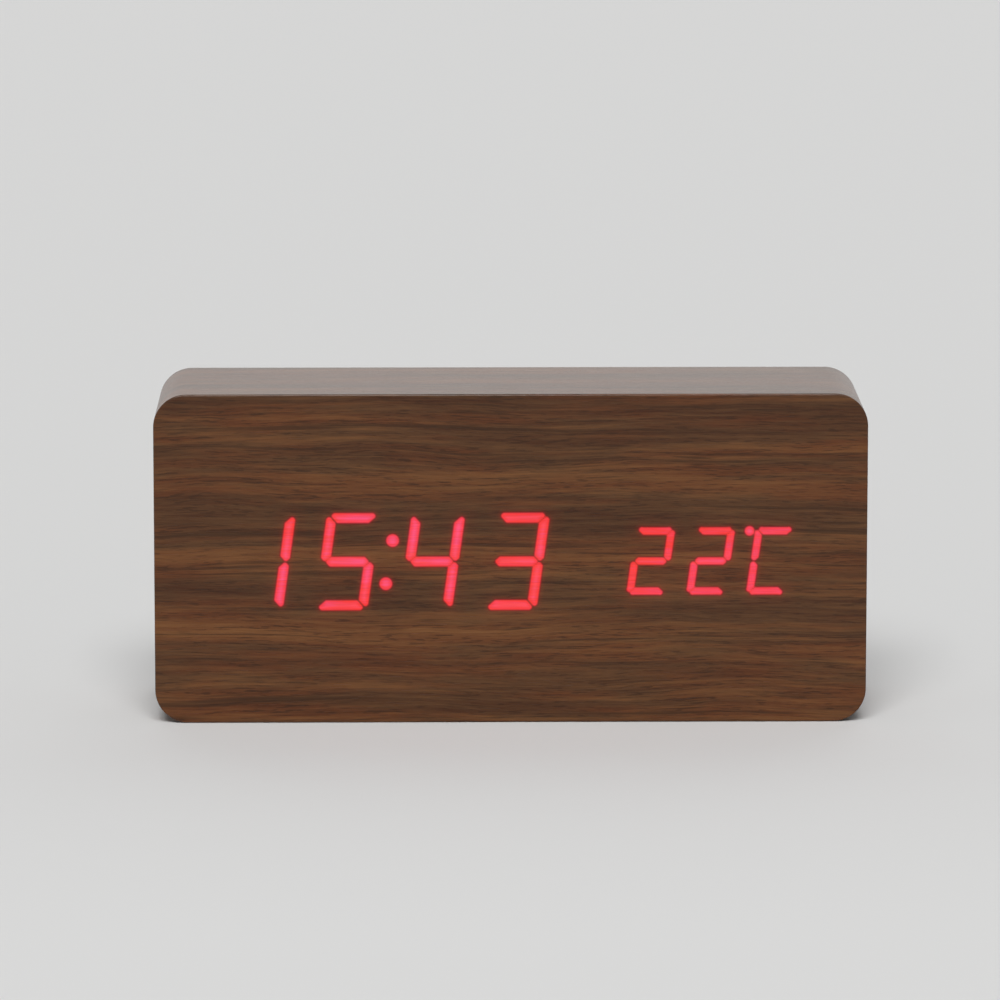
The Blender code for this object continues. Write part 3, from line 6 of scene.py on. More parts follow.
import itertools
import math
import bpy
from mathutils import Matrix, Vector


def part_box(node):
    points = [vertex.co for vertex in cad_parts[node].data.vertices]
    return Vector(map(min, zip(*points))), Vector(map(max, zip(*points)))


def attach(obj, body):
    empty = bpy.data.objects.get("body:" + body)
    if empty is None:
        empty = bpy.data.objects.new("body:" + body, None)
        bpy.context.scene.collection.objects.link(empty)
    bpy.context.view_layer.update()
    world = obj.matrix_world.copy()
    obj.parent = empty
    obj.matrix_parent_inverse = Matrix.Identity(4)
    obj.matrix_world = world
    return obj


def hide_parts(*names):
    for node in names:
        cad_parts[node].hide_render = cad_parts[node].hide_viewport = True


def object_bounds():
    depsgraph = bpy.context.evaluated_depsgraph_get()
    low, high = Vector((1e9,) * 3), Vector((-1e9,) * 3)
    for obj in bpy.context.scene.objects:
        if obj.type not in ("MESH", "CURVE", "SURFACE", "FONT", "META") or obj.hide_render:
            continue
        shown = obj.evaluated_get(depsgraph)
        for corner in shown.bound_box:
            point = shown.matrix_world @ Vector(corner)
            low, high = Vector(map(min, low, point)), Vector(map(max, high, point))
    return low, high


bl_info = {
    "name": "Wooden Alarm Clock",
    "version": (1, 0, 0),
    "blender": (4, 5, 0),
    "location": "3D View > Sidebar > Clock",
    "description": "Builds a block clock whose red display shines through its walnut foil",
    "category": "Add Mesh",
}

import bmesh
import bpy
import numpy as np
from mathutils import Matrix, Vector

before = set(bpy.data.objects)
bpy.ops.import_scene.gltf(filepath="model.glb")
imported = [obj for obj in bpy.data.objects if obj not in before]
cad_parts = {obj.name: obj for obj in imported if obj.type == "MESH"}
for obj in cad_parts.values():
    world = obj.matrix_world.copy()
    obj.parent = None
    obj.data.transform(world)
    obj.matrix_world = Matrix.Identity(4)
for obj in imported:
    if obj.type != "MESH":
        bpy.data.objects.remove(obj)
CASE_LOW, CASE_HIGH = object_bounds()

# A hair is too thin to see. Places that lie closer than that count as one.
HAIR = 0.00005
SHARP_ANGLE = math.radians(35.0)
FLAT_ANGLE = math.radians(1.0)
WELD_DISTANCE = 0.000002
EDGE_STEPS = 2

# Stage. The lights' angles are in degrees.
CAMERA_PLACE = (-0.0198, -1.4179, 0.2770)
CAMERA_TURN = (math.radians(90.0 - 9.321), 0.0, math.radians(-0.718))
CAMERA_LENS = {"lens": 242.85, "sensor_width": 36.0, "clip_start": 0.01}
KEY_LIGHT = {"tilt": 40.0, "turn": -3.0, "spread": 34.0}
BACK_LIGHT = {"tilt": 45.0, "turn": 175.0, "spread": 50.0}
FLOOR_SIDES = 128
# Painted light on the floor: between these values of Y its colour is painted darker away from the camera,
# down to this share of the near colour.
FLOOR_PAINTED_FALLOFF_SPAN = (-0.22, -0.06)
FAR_FLOOR_PAINTED_FALLOFF = 0.96

# Casing
FRONT_FILM_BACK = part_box("front_film")[1].y
REAR_FILM_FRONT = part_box("rear_film")[0].y
FOIL = CASE_HIGH.y - REAR_FILM_FRONT
PANEL_LOW, PANEL_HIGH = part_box("rear_panel")
PANEL_GAP = 0.0003
OPENING_RADIUS = 0.0043
CASE_CORNER_STEPS = 24
OPENING_CORNER_STEPS = 8
RIM_STEPS = 4

# Display. Digits stand in order from the left. A dot is its X, its height above the middle and its radius.
SHELL_LOW, SHELL_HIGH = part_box("display_shell")
DISPLAY_Z = (SHELL_LOW.z + SHELL_HIGH.z) / 2
DIGIT_SLANT = math.tan(math.radians(8.0))
LARGE_DIGITS = {
    "shown": "1543", "first": -0.0522, "pitch": 0.0178, "half_width": 0.0046, "row": 0.0093,
    "stroke": 0.0021, "bleed": 0.00003,
}
SMALL_DIGITS = {
    "shown": "22C", "first": 0.02945, "pitch": 0.0126, "half_width": 0.0034, "row": 0.0064,
    "stroke": 0.0015, "bleed": 0.00006,
}
LIT_STROKES = {"1": "bc", "2": "abged", "3": "abgcd", "4": "fgbc", "5": "afgcd", "C": "afed"}
STROKE_PLACES = {
    "a": (0, 1.0), "g": (0, 0.0), "d": (0, -1.0), "f": (-1, 0.5), "b": (1, 0.5), "e": (-1, -0.5),
    "c": (1, -0.5),
}
STROKE_GAP = 0.0003
STROKE_ROUNDING = 0.0005
OUTER_TIP_SHARE = 0.2
LEVEL_REACH_SHARE = 0.35
UPRIGHT_REACH_SHARE = 0.85
DOTS = ((-0.02485, 0.0045, 0.00138), (-0.0263, -0.0047, 0.00138), (0.0502, 0.0064, 0.00105))
PATCH_MARGIN = 0.002
PATCH_SQUARES = 5
PATCH_CUTS = 95
UNLIT_DISTANCE = 0.01

# Light through the foil. Spans are distances from a stroke's edge.
GLOW_SPAN = (-0.001, 0.001)
FADE_SPAN = (0.001, 0.0035)
FLUSH_SPAN = (0.00005, 0.0004)
FLUSHED_FOIL = (0.10, 0.004, 0.004)
RED_TINT = (0.97, 0.84, 0.46)
PINK_TINT = (0.98, 1.18, 1.24)

# Foil. Cells are lengths along and across the grain, and a shift is a pattern's place in the noise. The
# tone weighs the bands, the streaks and the fibres.
GRAIN = {
    "wander": {"cell": (0.055, 0.016, 1.0), "shift": 1.9},
    "bands": {"roughness": 0.55, "shift": 1473.28},
    "streaks": {"detail": 3.0, "roughness": 0.62, "shift": 397.39},
    "fibres": {"cell": (0.007, 0.00032, 1.0), "roughness": 0.6, "shift": 5.9},
    "clouds": {"cell": (0.03, 0.0035, 1.0), "detail": 3.0, "roughness": 0.6, "shift": 186.45},
    "long_veins": {"cell": (0.070, 0.0013, 1.0), "shift": 184.27},
    "short_veins": {"cell": (0.016, 0.0007, 1.0), "shift": 225.18},
    "pores": {"cell": (0.0032, 0.00030, 1.0), "detail": 1.0, "shift": 2.3},
}
BAND_LENGTH = 0.16
WANDER_HEIGHT = 0.0042
TONE_LEVEL = 0.69
TONE_WEIGHTS = (1.04, 0.90, 0.46)
VEIN_STRENGTH = 0.65
PORE_STRENGTH = 0.66
GLOSS_SPREAD = 0.03
LACQUER_IOR = 1.35

# Most of a noise lies in this range
NOISE_RANGE = (0.3, 0.7)

# Cells, measured from their ends
CELL_DISC = 0.0037
CELL_GROOVE = 0.0003
CELL_LIP = 0.0004
CELL_NUB = 0.0008
CELL_NUB_RADIUS = 0.0019
CELL_BAND = 0.012
CELL_SIGN = 0.0055
SIGN_HALF = 0.0015
SIGN_WIDTH = 0.0003
CELL_STEPS = 48

# Buttons
BUTTON_FLANGE = 0.001
BUTTON_FLANGE_THICKNESS = 0.0008
BUTTON_EDGE = 0.0005
BUTTON_EDGE_STEPS = 5
BUTTON_CORNER_STEPS = 20
BUTTON_DOME = 0.00025
DOME_INSET = 0.0004
DOME_SHARES = (0.4, 0.3, 0.2, 0.1)

# Marks on the rear
MARK_STEPS = 32
MARK_SUNK = 0.00003
PRINT_RELIEF = 0.00003
MOULDED_RELIEF = 0.0003
MARK_RADIUS = 0.0011
RING_RADII = (0.0010, 0.0006)
MARK_RISE = 0.0052
BAR_WIDTH = 0.0040
BAR_HEIGHT = 0.00035
BAR_PITCH = 0.0009
DASH_WIDTH = 0.0010
DASH_PITCH = 0.0015
PUSH_MARK_RADIUS = 0.0019
PUSH_MARK_INSET = 0.0125

# Small parts, whose finish changes at these distances
LED_HEIGHT = 0.0006
RESISTOR_HEIGHT = 0.0005
LEG_REACH = 0.0014
CLIP_HALF_WIDTH = 0.0026
CLIP_DEPTH = 0.00228
FELT_RADIUS = 0.0022
FELT_DEPTH = 0.0002
BEAD_RISE = 0.0021
CROSS_DEPTH = 0.0005
CROSS_REACH = 0.0013
CAPACITOR_TOP = 0.0026

# Colours of small parts, and surfaces as colour, roughness and metallic
RESIN = (0.018, 0.018, 0.019)
TIN = (0.66, 0.66, 0.65)
TINNED = (TIN, 0.32, 1.0)
LAMP = ((0.62, 0.50, 0.28), 0.35, 0.0)
RESISTOR = (RESIN, 0.55, 0.0)
FELT = ((0.010, 0.010, 0.010), 0.95, 0.0)
# The cross in a screw's head is a darker steel: painted shade in its recess.
PAINTED_CROSS_SHADE = ((0.055, 0.055, 0.058), 0.5, 1.0)
FINE_TEXTURE = 0.00018


# Settings


class FoilSettings(bpy.types.PropertyGroup):
    """The walnut foil and the edges it is wrapped round."""

    corner_radius: bpy.props.FloatProperty(
        name="Corner radius", description="Radius of the block's four long corners",
        default=0.007, min=0.001, unit="LENGTH")
    edge_radius: bpy.props.FloatProperty(
        name="Edge radius", description="Rounding of the front and rear edges",
        default=0.00038, min=0.0001, unit="LENGTH")
    dark: bpy.props.FloatVectorProperty(
        name="Dark grain", description="Colour of the darkest grain",
        default=(0.044, 0.0105, 0.0018), min=0.0, max=1.0, subtype="COLOR")
    warm: bpy.props.FloatVectorProperty(
        name="Warm brown", description="Colour that the lighter bands lean to",
        default=(0.111, 0.0345, 0.0096), min=0.0, max=1.0, subtype="COLOR")
    dull: bpy.props.FloatVectorProperty(
        name="Dull brown", description="Colour that the darker bands lean to",
        default=(0.093, 0.0385, 0.0132), min=0.0, max=1.0, subtype="COLOR")
    pore: bpy.props.FloatVectorProperty(
        name="Pores", description="Colour of the fine short lines of the pores",
        default=(0.034, 0.0128, 0.0035), min=0.0, max=1.0, subtype="COLOR")
    light: bpy.props.FloatVectorProperty(
        name="Light grain", description="Colour of the lightest grain",
        default=(0.182, 0.0735, 0.0222), min=0.0, max=1.0, subtype="COLOR")
    band: bpy.props.FloatProperty(
        name="Band height", description="Height of the broad light and dark bands",
        default=0.0085, min=0.001, unit="LENGTH")
    streak_length: bpy.props.FloatProperty(
        name="Streak length", description="Length of a streak along the grain",
        default=0.026, min=0.001, unit="LENGTH")
    streak_height: bpy.props.FloatProperty(
        name="Streak height", description="Height of a streak across the grain",
        default=0.0010, min=0.0001, unit="LENGTH")
    roughness: bpy.props.FloatProperty(
        name="Roughness", description="Roughness of the foil's satin lacquer",
        default=0.25, min=0.0, max=1.0)


class DisplaySettings(bpy.types.PropertyGroup):
    """The red light that comes through the foil."""

    core: bpy.props.FloatVectorProperty(
        name="Lit stroke", description="Light from the middle of a lit stroke",
        default=(0.92, 0.064, 0.170), min=0.0, max=1.0, subtype="COLOR")
    rim: bpy.props.FloatVectorProperty(
        name="Stroke edge", description="Light from the edge of a lit stroke",
        default=(0.86, 0.030, 0.056), min=0.0, max=1.0, subtype="COLOR")
    halo: bpy.props.FloatVectorProperty(
        name="Halo", description="Light that spreads in the foil round a stroke",
        default=(0.045, 0.0, 0.0010), min=0.0, max=1.0, subtype="COLOR")


class PlasticSettings(bpy.types.PropertyGroup):
    """The moulded plastics and the ink printed on them."""

    panel: bpy.props.FloatVectorProperty(
        name="Panel", description="Colour of the rear panel and its battery door",
        default=(0.021, 0.021, 0.022), min=0.0, max=1.0, subtype="COLOR")
    button: bpy.props.FloatVectorProperty(
        name="Buttons", description="Colour of the buttons and the power jack",
        default=(0.026, 0.026, 0.027), min=0.0, max=1.0, subtype="COLOR")
    holder: bpy.props.FloatVectorProperty(
        name="Inner parts", description="Colour of the display's shell, the buzzer and the cell holder",
        default=(0.018, 0.018, 0.019), min=0.0, max=1.0, subtype="COLOR")
    mark: bpy.props.FloatVectorProperty(
        name="Door's mark", description="Colour of the polished triangle on the battery door",
        default=(0.045, 0.045, 0.046), min=0.0, max=1.0, subtype="COLOR")
    ink: bpy.props.FloatVectorProperty(
        name="Ink", description="Colour of the signs printed on the rear panel",
        default=(0.52, 0.52, 0.51), min=0.0, max=1.0, subtype="COLOR")
    roughness: bpy.props.FloatProperty(
        name="Roughness", description="Roughness of the rear panel", default=0.52, min=0.0, max=1.0)


class StageSettings(bpy.types.PropertyGroup):
    """The floor, the lights and the camera."""

    floor_radius: bpy.props.FloatProperty(
        name="Floor radius", description="Radius of the studio floor",
        default=6.0, min=0.5, unit="LENGTH")
    floor_colour: bpy.props.FloatVectorProperty(
        name="Floor", description="Colour of the studio floor",
        default=(0.762, 0.762, 0.758), min=0.0, max=1.0, subtype="COLOR")
    backdrop: bpy.props.FloatVectorProperty(
        name="Backdrop", description="Colour of the studio behind the floor",
        default=(0.77, 0.77, 0.76), min=0.0, max=1.0, subtype="COLOR")
    ambient: bpy.props.FloatProperty(
        name="Ambient light", description="Light from the studio's walls and ceiling",
        default=0.20, min=0.0)
    key: bpy.props.FloatProperty(
        name="Key light", description="Strength of the soft light in front and above",
        default=2.45, min=0.0)
    back: bpy.props.FloatProperty(
        name="Back light", description="Strength of the soft light behind and above",
        default=0.42, min=0.0)


# Modelling


def fill(thing, **values):
    """Sets several of a thing's attributes."""
    for name, value in values.items():
        setattr(thing, name, value)
    return thing


def middle_of(name):
    """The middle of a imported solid's box."""
    low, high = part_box(name)
    return (low + high) / 2


def box_mesh(x_span, y_span, z_span):
    """A box between two values on each axis."""
    mesh = bmesh.new()
    bmesh.ops.create_cube(mesh, size=1.0)
    spans = (x_span, y_span, z_span)
    bmesh.ops.scale(mesh, verts=mesh.verts, vec=[high - low for low, high in spans])
    bmesh.ops.translate(mesh, verts=mesh.verts, vec=[(low + high) / 2 for low, high in spans])
    return mesh


def round_edges(mesh, edges, width, steps):
    bmesh.ops.bevel(
        mesh, geom=edges, offset=width, offset_type="OFFSET", segments=steps, profile=0.5,
        affect="EDGES", clamp_overlap=True, material=-1)


def deep_edges(mesh):
    """The edges that run from front to back."""
    runs = [(edge, edge.verts[0].co - edge.verts[1].co) for edge in mesh.edges]
    return [edge for edge, run in runs if abs(run.y) > max(abs(run.x), abs(run.z))]


def plate(y_span, radius, steps):
    """A rounded plate of the casing's outline, between two values of Y."""
    mesh = box_mesh((CASE_LOW.x, CASE_HIGH.x), y_span, (CASE_LOW.z, CASE_HIGH.z))
    round_edges(mesh, deep_edges(mesh), radius, steps)
    return mesh


def faces_at(mesh, y):
    """The faces that lie in the plane of that Y."""
    return [face for face in mesh.faces if all(abs(vert.co.y - y) < HAIR for vert in face.verts)]


def rim_of(mesh, y):
    """The outer edges of the flat face in that plane."""
    flat = set(faces_at(mesh, y))
    return [edge for face in flat for edge in face.edges if len(flat.intersection(edge.link_faces)) == 1]


def isolate(mesh, y, x_levels, z_levels):
    """Cuts the flat face at that Y along the levels, and gives back the faces within the outermost ones."""
    for normal, levels in ((Vector((1, 0, 0)), x_levels), (Vector((0, 0, 1)), z_levels)):
        for level in levels:
            faces = faces_at(mesh, y)
            parts = set(faces).union(*(face.edges for face in faces), *(face.verts for face in faces))
            bmesh.ops.bisect_plane(mesh, geom=list(parts), plane_co=normal * level, plane_no=normal)
    middles = [(face, face.calc_center_median()) for face in faces_at(mesh, y)]
    return [
        face for face, middle in middles
        if x_levels[0] < middle.x < x_levels[-1] and z_levels[0] < middle.z < z_levels[-1]
    ]


def new_object(name, data):
    made = bpy.data.objects.new(name, data)
    bpy.context.scene.collection.objects.link(made)
    return made


def mesh_object(name, mesh, finish):
    """Makes a bmesh an object with that finish."""
    data = bpy.data.meshes.new(name)
    mesh.to_mesh(data)
    mesh.free()
    data.materials.append(finish.material)
    return new_object(name, data)


def add_piece(name, mesh, finish, body="case", stands_for=None):
    """Puts a piece on a body of the clock, in the place of the solid that it stands for. Its faces point
    outwards, and all but its sharp edges are shaded smooth."""
    bmesh.ops.recalc_face_normals(mesh, faces=mesh.faces)
    for face in mesh.faces:
        face.smooth = True
    for edge in mesh.edges:
        edge.smooth = edge.is_manifold and edge.calc_face_angle(0) < SHARP_ANGLE
    piece = mesh_object(name, mesh, finish)
    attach(piece, body)
    if stands_for:
        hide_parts(stands_for)
    return piece


def even_normals(piece):
    """Keeps large flat faces flat beside small rounded edges."""
    piece.modifiers.new("even_normals", "WEIGHTED_NORMAL").keep_sharp = True


def lay_map(mesh, name, rule, lap=math.inf):
    """A map in metres. One that runs round a piece closes on itself along its first axis after a lap."""
    layer = mesh.loops.layers.uv.new(name)
    for face in mesh.faces:
        places = [rule(loop.vert.co) for loop in face.loops]
        far = max(along for along, _ in places)
        for loop, (along, across) in zip(face.loops, places):
            loop[layer].uv = (along + lap if far - along > lap / 2 else along, across)


# Finishes


class Nodes:
    """A node tree under way, with short calls that add its nodes and link them."""

    def __init__(self, tree):
        self.tree = tree

    def node(self, kind, sockets=None, output=0, **settings):
        """Adds a shader node, fills or links its sockets, and gives back one of its outputs."""
        node = fill(self.tree.nodes.new("ShaderNode" + kind), **settings)
        for socket, value in (sockets or {}).items():
            self.feed(node.inputs[socket], value)
        return node.outputs[output]

    def feed(self, socket, value):
        if isinstance(value, bpy.types.NodeSocket):
            self.tree.links.new(value, socket)
        elif socket.type == "RGBA":
            socket.default_value = (*value[:3], 1.0)
        else:
            socket.default_value = value

    def math(self, operation, first, second=0.0):
        return self.node("Math", {0: first, 1: second}, operation=operation)


class Finish(Nodes):
    """A material under way."""

    def __init__(self, name, roughness=0.5, metallic=0.0, ior=1.5):
        self.material = bpy.data.materials.new(name)
        self.material.use_nodes = True
        super().__init__(self.material.node_tree)
        self.shader = self.tree.nodes["Principled BSDF"]
        self.set(Roughness=roughness, Metallic=metallic, IOR=ior)

    def set(self, **sockets):
        """Fills or links the shader's own sockets, their names with _ for a space."""
        for name, value in sockets.items():
            self.feed(self.shader.inputs[name.replace("_", " ")], value)

    def place(self):
        return self.node("TexCoord", output="Object")

    def away(self, value, middle):
        """How far a value is from another one."""
        return self.math("ABSOLUTE", self.math("SUBTRACT", value, middle))

    def axis(self, vector, letter):
        return self.node("SeparateXYZ", {0: vector}, letter)

    def noise(self, cell, detail=2.0, roughness=0.5, shift=0.0, vector=None):
        """Noise whose cells have that size: one length, or one for each axis."""
        lengths = cell if isinstance(cell, tuple) else (cell, cell, cell)
        scaled = self.node("Mapping", {
            "Vector": vector or self.place(), "Scale": [1 / length for length in lengths],
            "Location": (shift, shift, shift)})
        return self.node("TexNoise", {
            "Vector": scaled, "Scale": 1.0, "Detail": detail, "Roughness": roughness})

    def spread(self, value, low, high, to_low=0.0, to_high=1.0):
        """Maps one range of a value onto another, and stops at its ends."""
        return self.node("MapRange", {0: value, 1: low, 2: high, 3: to_low, 4: to_high})

    def mix(self, share, first, second):
        return self.node("Mix", {0: share, 6: first, 7: second}, 2, data_type="RGBA")

    def ramp(self, value, stops):
        """Colours along a value, as (place, colour)."""
        ramp = self.node("ValToRGB", {0: value})
        elements = ramp.node.color_ramp.elements
        while len(elements) < len(stops):
            elements.new(0.5)
        for element, (where, colour) in zip(elements, stops):
            element.position = where
            element.color = (*colour[:3], 1.0)
        return ramp

    def bump(self, height, depth, strength):
        self.set(Normal=self.node("Bump", {
            "Height": height, "Distance": depth, "Strength": strength}))

    def zone(self, solids, spans):
        """1 inside all the spans and 0 outside. Spans are of how far a point lies behind a solid's front,
        in from its rear, and from its middle along X, along Z and in their plane. Alike solids stand evenly
        about a middle that they share."""
        low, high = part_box(solids[0])
        own = (low + high) / 2
        shared = sum((middle_of(solid) for solid in solids), Vector()) / len(solids)
        place = self.place()
        depth = self.axis(place, "Y")
        values = {
            "front": self.math("SUBTRACT", depth, low.y), "rear": self.math("SUBTRACT", high.y, depth)}
        for number, letter in ((0, "x"), (2, "z")):
            folded = self.away(self.axis(place, letter.upper()), shared[number])
            values[letter] = self.away(folded, abs(own[number] - shared[number]))
        squares = [self.math("MULTIPLY", values[letter], values[letter]) for letter in "xz"]
        values["around"] = self.math("SQRT", self.math("ADD", *squares))
        mask = 1.0
        for way, (start, end) in spans.items():
            inside = self.node("Math", {
                0: values[way], 1: (start + end) / 2, 2: (end - start) / 2}, operation="COMPARE")
            mask = self.math("MULTIPLY", mask, inside)
        return mask

    def coat(self, surface, *solids, **spans):
        """Puts another surface over a zone of alike solids."""
        mask = self.zone(solids, spans)
        colour, roughness, metallic = surface
        base = self.shader.inputs["Base Color"].links[0].from_socket
        self.set(Base_Color=self.mix(mask, base, colour))
        for name, value in (("Roughness", roughness), ("Metallic", metallic)):
            socket = self.shader.inputs[name]
            before = socket.links[0].from_socket if socket.is_linked else socket.default_value
            if before != value:
                self.feed(socket, self.node("Mix", {0: mask, 2: before, 3: value}))


def walnut_foil(name, foil, display=None):
    """Printed walnut under a satin lacquer. With a display, its light comes through the foil."""
    finish = Finish(name, foil.roughness, 0.0, LACQUER_IOR)
    flat = finish.node("UVMap", uv_map="grain")
    wander = finish.math("SUBTRACT", finish.noise(**GRAIN["wander"], vector=flat), 0.5)
    drift = finish.node("CombineXYZ", {"Y": finish.math("MULTIPLY", wander, WANDER_HEIGHT)})
    grain = finish.node("VectorMath", {0: flat, 1: drift}, operation="ADD")

    bands = finish.noise((BAND_LENGTH, foil.band, 1.0), **GRAIN["bands"], vector=grain)
    streaks = finish.noise(
        (foil.streak_length, foil.streak_height, 1.0), **GRAIN["streaks"], vector=grain)
    fibres, clouds, long_veins, short_veins, dashes = (
        finish.noise(**GRAIN[kind], vector=grain)
        for kind in ("fibres", "clouds", "long_veins", "short_veins", "pores"))

    tone = -TONE_LEVEL
    for pattern, weight in zip((bands, streaks, fibres), TONE_WEIGHTS):
        tone = finish.math("ADD", tone, finish.math("MULTIPLY", pattern, weight))
    dullness = finish.spread(finish.math("SUBTRACT", clouds, bands), -0.10, 0.10)
    veins = finish.math(
        "MAXIMUM", finish.spread(long_veins, 0.60, 0.70), finish.spread(short_veins, 0.62, 0.72))
    pores = finish.math(
        "MULTIPLY", finish.spread(dashes, 0.56, 0.64), finish.spread(streaks, 0.64, 0.42))
    colour = finish.mix(dullness, foil.warm, foil.dull)
    for share, paint in (
        (finish.spread(tone, 0.5, 0.90), foil.light), (finish.spread(tone, 0.5, 0.10), foil.dark),
        (finish.math("MULTIPLY", veins, VEIN_STRENGTH), foil.pore),
        (finish.math("MULTIPLY", pores, PORE_STRENGTH), foil.pore),
    ):
        colour = finish.mix(share, colour, paint)
    if display is not None:
        colour = shine_through(finish, display, colour, fibres)
    gloss = finish.spread(
        fibres, *NOISE_RANGE, foil.roughness + GLOSS_SPREAD, foil.roughness - GLOSS_SPREAD)
    finish.set(Base_Color=colour, Roughness=gloss)
    finish.bump(finish.math("SUBTRACT", fibres, pores), 0.00001, 0.5)
    return finish


def shine_through(finish, display, colour, fibres):
    """The display's light: pink in a stroke, redder at its edge, and a faint halo in the foil round it."""
    distance = finish.node("Attribute", output="Fac", attribute_name="lit_distance")
    rim, halo = display.rim, display.halo
    glow = finish.ramp(finish.spread(distance, *GLOW_SPAN), (
        (0.0, display.core), (0.40, rim), (0.49, 0.5 * rim), (0.55, 0.12 * rim), (0.66, halo),
        (1.0, 0.25 * halo)))
    patches = finish.noise((0.012, 1.0, 0.008), 1.0, shift=1405.56)
    threads = finish.noise((0.006, 1.0, 0.0005), shift=8.0)
    pinker = finish.math(
        "ADD", finish.spread(patches, 0.4, 0.6, 0.0, 0.7), finish.spread(threads, 0.35, 0.65, -0.25, 0.35))
    tint = finish.mix(pinker, RED_TINT, PINK_TINT)
    light = finish.node("VectorMath", {0: glow, 1: tint}, operation="MULTIPLY")
    grained = finish.spread(fibres, 0.25, 0.75, 0.86, 1.10)
    for share in (grained, finish.spread(distance, *FADE_SPAN, 1.0, 0.0)):
        light = finish.node("VectorMath", {0: light, "Scale": share}, operation="SCALE")
    finish.set(Emission_Color=light, Emission_Strength=1.0)
    # Within a lit stroke the foil's own colour is also painted dark red: painted light from the stroke.
    return finish.mix(finish.spread(distance, *FLUSH_SPAN, 0.75, 0.0), colour, FLUSHED_FOIL)


def moulded_plastic(name, colour, roughness, depth=0.00003, cell=0.0003):
    """Plastic from a mould with a fine spark-eroded texture."""
    finish = Finish(name, roughness)
    texture = finish.noise(cell)
    cloud = finish.noise(0.012, shift=2.0)
    lighter = [min(1.0, 1.35 * channel + 0.002) for channel in colour]
    finish.set(Base_Color=finish.mix(finish.spread(cloud, 0.35, 0.7), colour, lighter))
    finish.set(Roughness=finish.spread(cloud, *NOISE_RANGE, roughness - 0.05, roughness + 0.06))
    finish.bump(texture, depth, 0.8)
    return finish


def fibreboard():
    """Pressed wood fibre: pale brown, with fine darker flecks."""
    finish = Finish("fibreboard", 0.85)
    flecks = finish.noise((0.0012, 0.0005, 0.0012), 3.0, 0.65)
    cloud = finish.noise(0.02, shift=3.0)
    colour = finish.ramp(flecks, (
        (0.30, (0.17, 0.105, 0.058)), (0.48, (0.36, 0.245, 0.145)), (0.70, (0.50, 0.37, 0.24))))
    finish.set(Base_Color=finish.mix(finish.spread(cloud, 0.3, 0.8, 0.0, 0.4), colour, (0.30, 0.20, 0.115)))
    finish.bump(flecks, 0.00006, 0.7)
    return finish


def metal(name, colour, roughness):
    """Bare metal with fine drawn lines and a little unevenness."""
    finish = Finish(name, roughness, 1.0)
    lines = finish.noise((0.004, 0.00025, 0.00025), 3.0, 0.6)
    cloud = finish.noise(0.006, shift=1.0)
    darker = [0.72 * channel for channel in colour]
    finish.set(Base_Color=finish.mix(finish.spread(cloud, 0.35, 0.75), colour, darker))
    finish.set(Roughness=finish.spread(lines, *NOISE_RANGE, roughness - 0.06, roughness + 0.12))
    finish.bump(lines, 0.000006, 0.5)
    return finish


def circuit_board(name):
    """Green solder mask over fine copper tracks, with small tinned holes."""
    finish = Finish(name, 0.32)
    place = finish.place()
    flat = finish.node("CombineXYZ", {"X": finish.axis(place, "X"), "Y": finish.axis(place, "Z")})
    tracks = finish.node("TexBrick", {
        "Vector": flat, "Scale": 1.0, "Brick Width": 0.0075, "Row Height": 0.0016, "Mortar Size": 0.00016,
        "Mortar Smooth": 0.0}, "Fac", offset=0.37)
    holes = finish.node("TexVoronoi", {
        "Vector": flat, "Scale": 240.0, "Randomness": 0.55}, "Distance")
    cloud = finish.noise(0.01)
    mask = finish.mix(finish.spread(cloud, *NOISE_RANGE), (0.012, 0.085, 0.035), (0.018, 0.115, 0.048))
    mask = finish.mix(tracks, mask, (0.030, 0.180, 0.070))
    pads = finish.spread(holes, 0.115, 0.105)
    finish.set(
        Base_Color=finish.mix(pads, mask, (0.62, 0.60, 0.55)), Metallic=finish.math("MULTIPLY", pads, 0.9),
        Roughness=finish.spread(pads, 0.0, 1.0, 0.36, 0.25))
    finish.bump(finish.math("ADD", tracks, pads), 0.00003, 0.8)
    return finish


def frosted_guide():
    """The clear plastic of the light guide. Its red colour is painted light from the red chips behind it.
    """
    finish = Finish("light_guide", 0.35, 0.0, 1.49)
    cloud = finish.noise(0.0015)
    finish.set(Base_Color=finish.mix(
        finish.spread(cloud, *NOISE_RANGE), (0.80, 0.13, 0.15), (0.86, 0.22, 0.22)))
    finish.bump(cloud, 0.00002, 0.4)
    return finish


def wire_skin(name, colour):
    """Soft insulation with a slight sheen and handling marks."""
    finish = Finish(name, 0.42)
    cloud = finish.noise(0.003, 3.0)
    darker = [0.7 * channel for channel in colour]
    finish.set(Base_Color=finish.mix(finish.spread(cloud, 0.35, 0.7), colour, darker))
    finish.set(Roughness=finish.spread(cloud, *NOISE_RANGE, 0.36, 0.52))
    finish.bump(cloud, 0.00003, 0.4)
    return finish


def smooth_shading():
    """A modifier's node group that shades every face smooth."""
    name = "smooth_shading"
    if name in bpy.data.node_groups:
        return bpy.data.node_groups[name]
    group = bpy.data.node_groups.new(name, "GeometryNodeTree")
    for way in ("INPUT", "OUTPUT"):
        group.interface.new_socket("Geometry", in_out=way, socket_type="NodeSocketGeometry")
    source, smooth, result = (
        group.nodes.new(kind)
        for kind in ("NodeGroupInput", "GeometryNodeSetShadeSmooth", "NodeGroupOutput"))
    group.links.new(source.outputs[0], smooth.inputs[0])
    group.links.new(smooth.outputs[0], result.inputs[0])
    return group


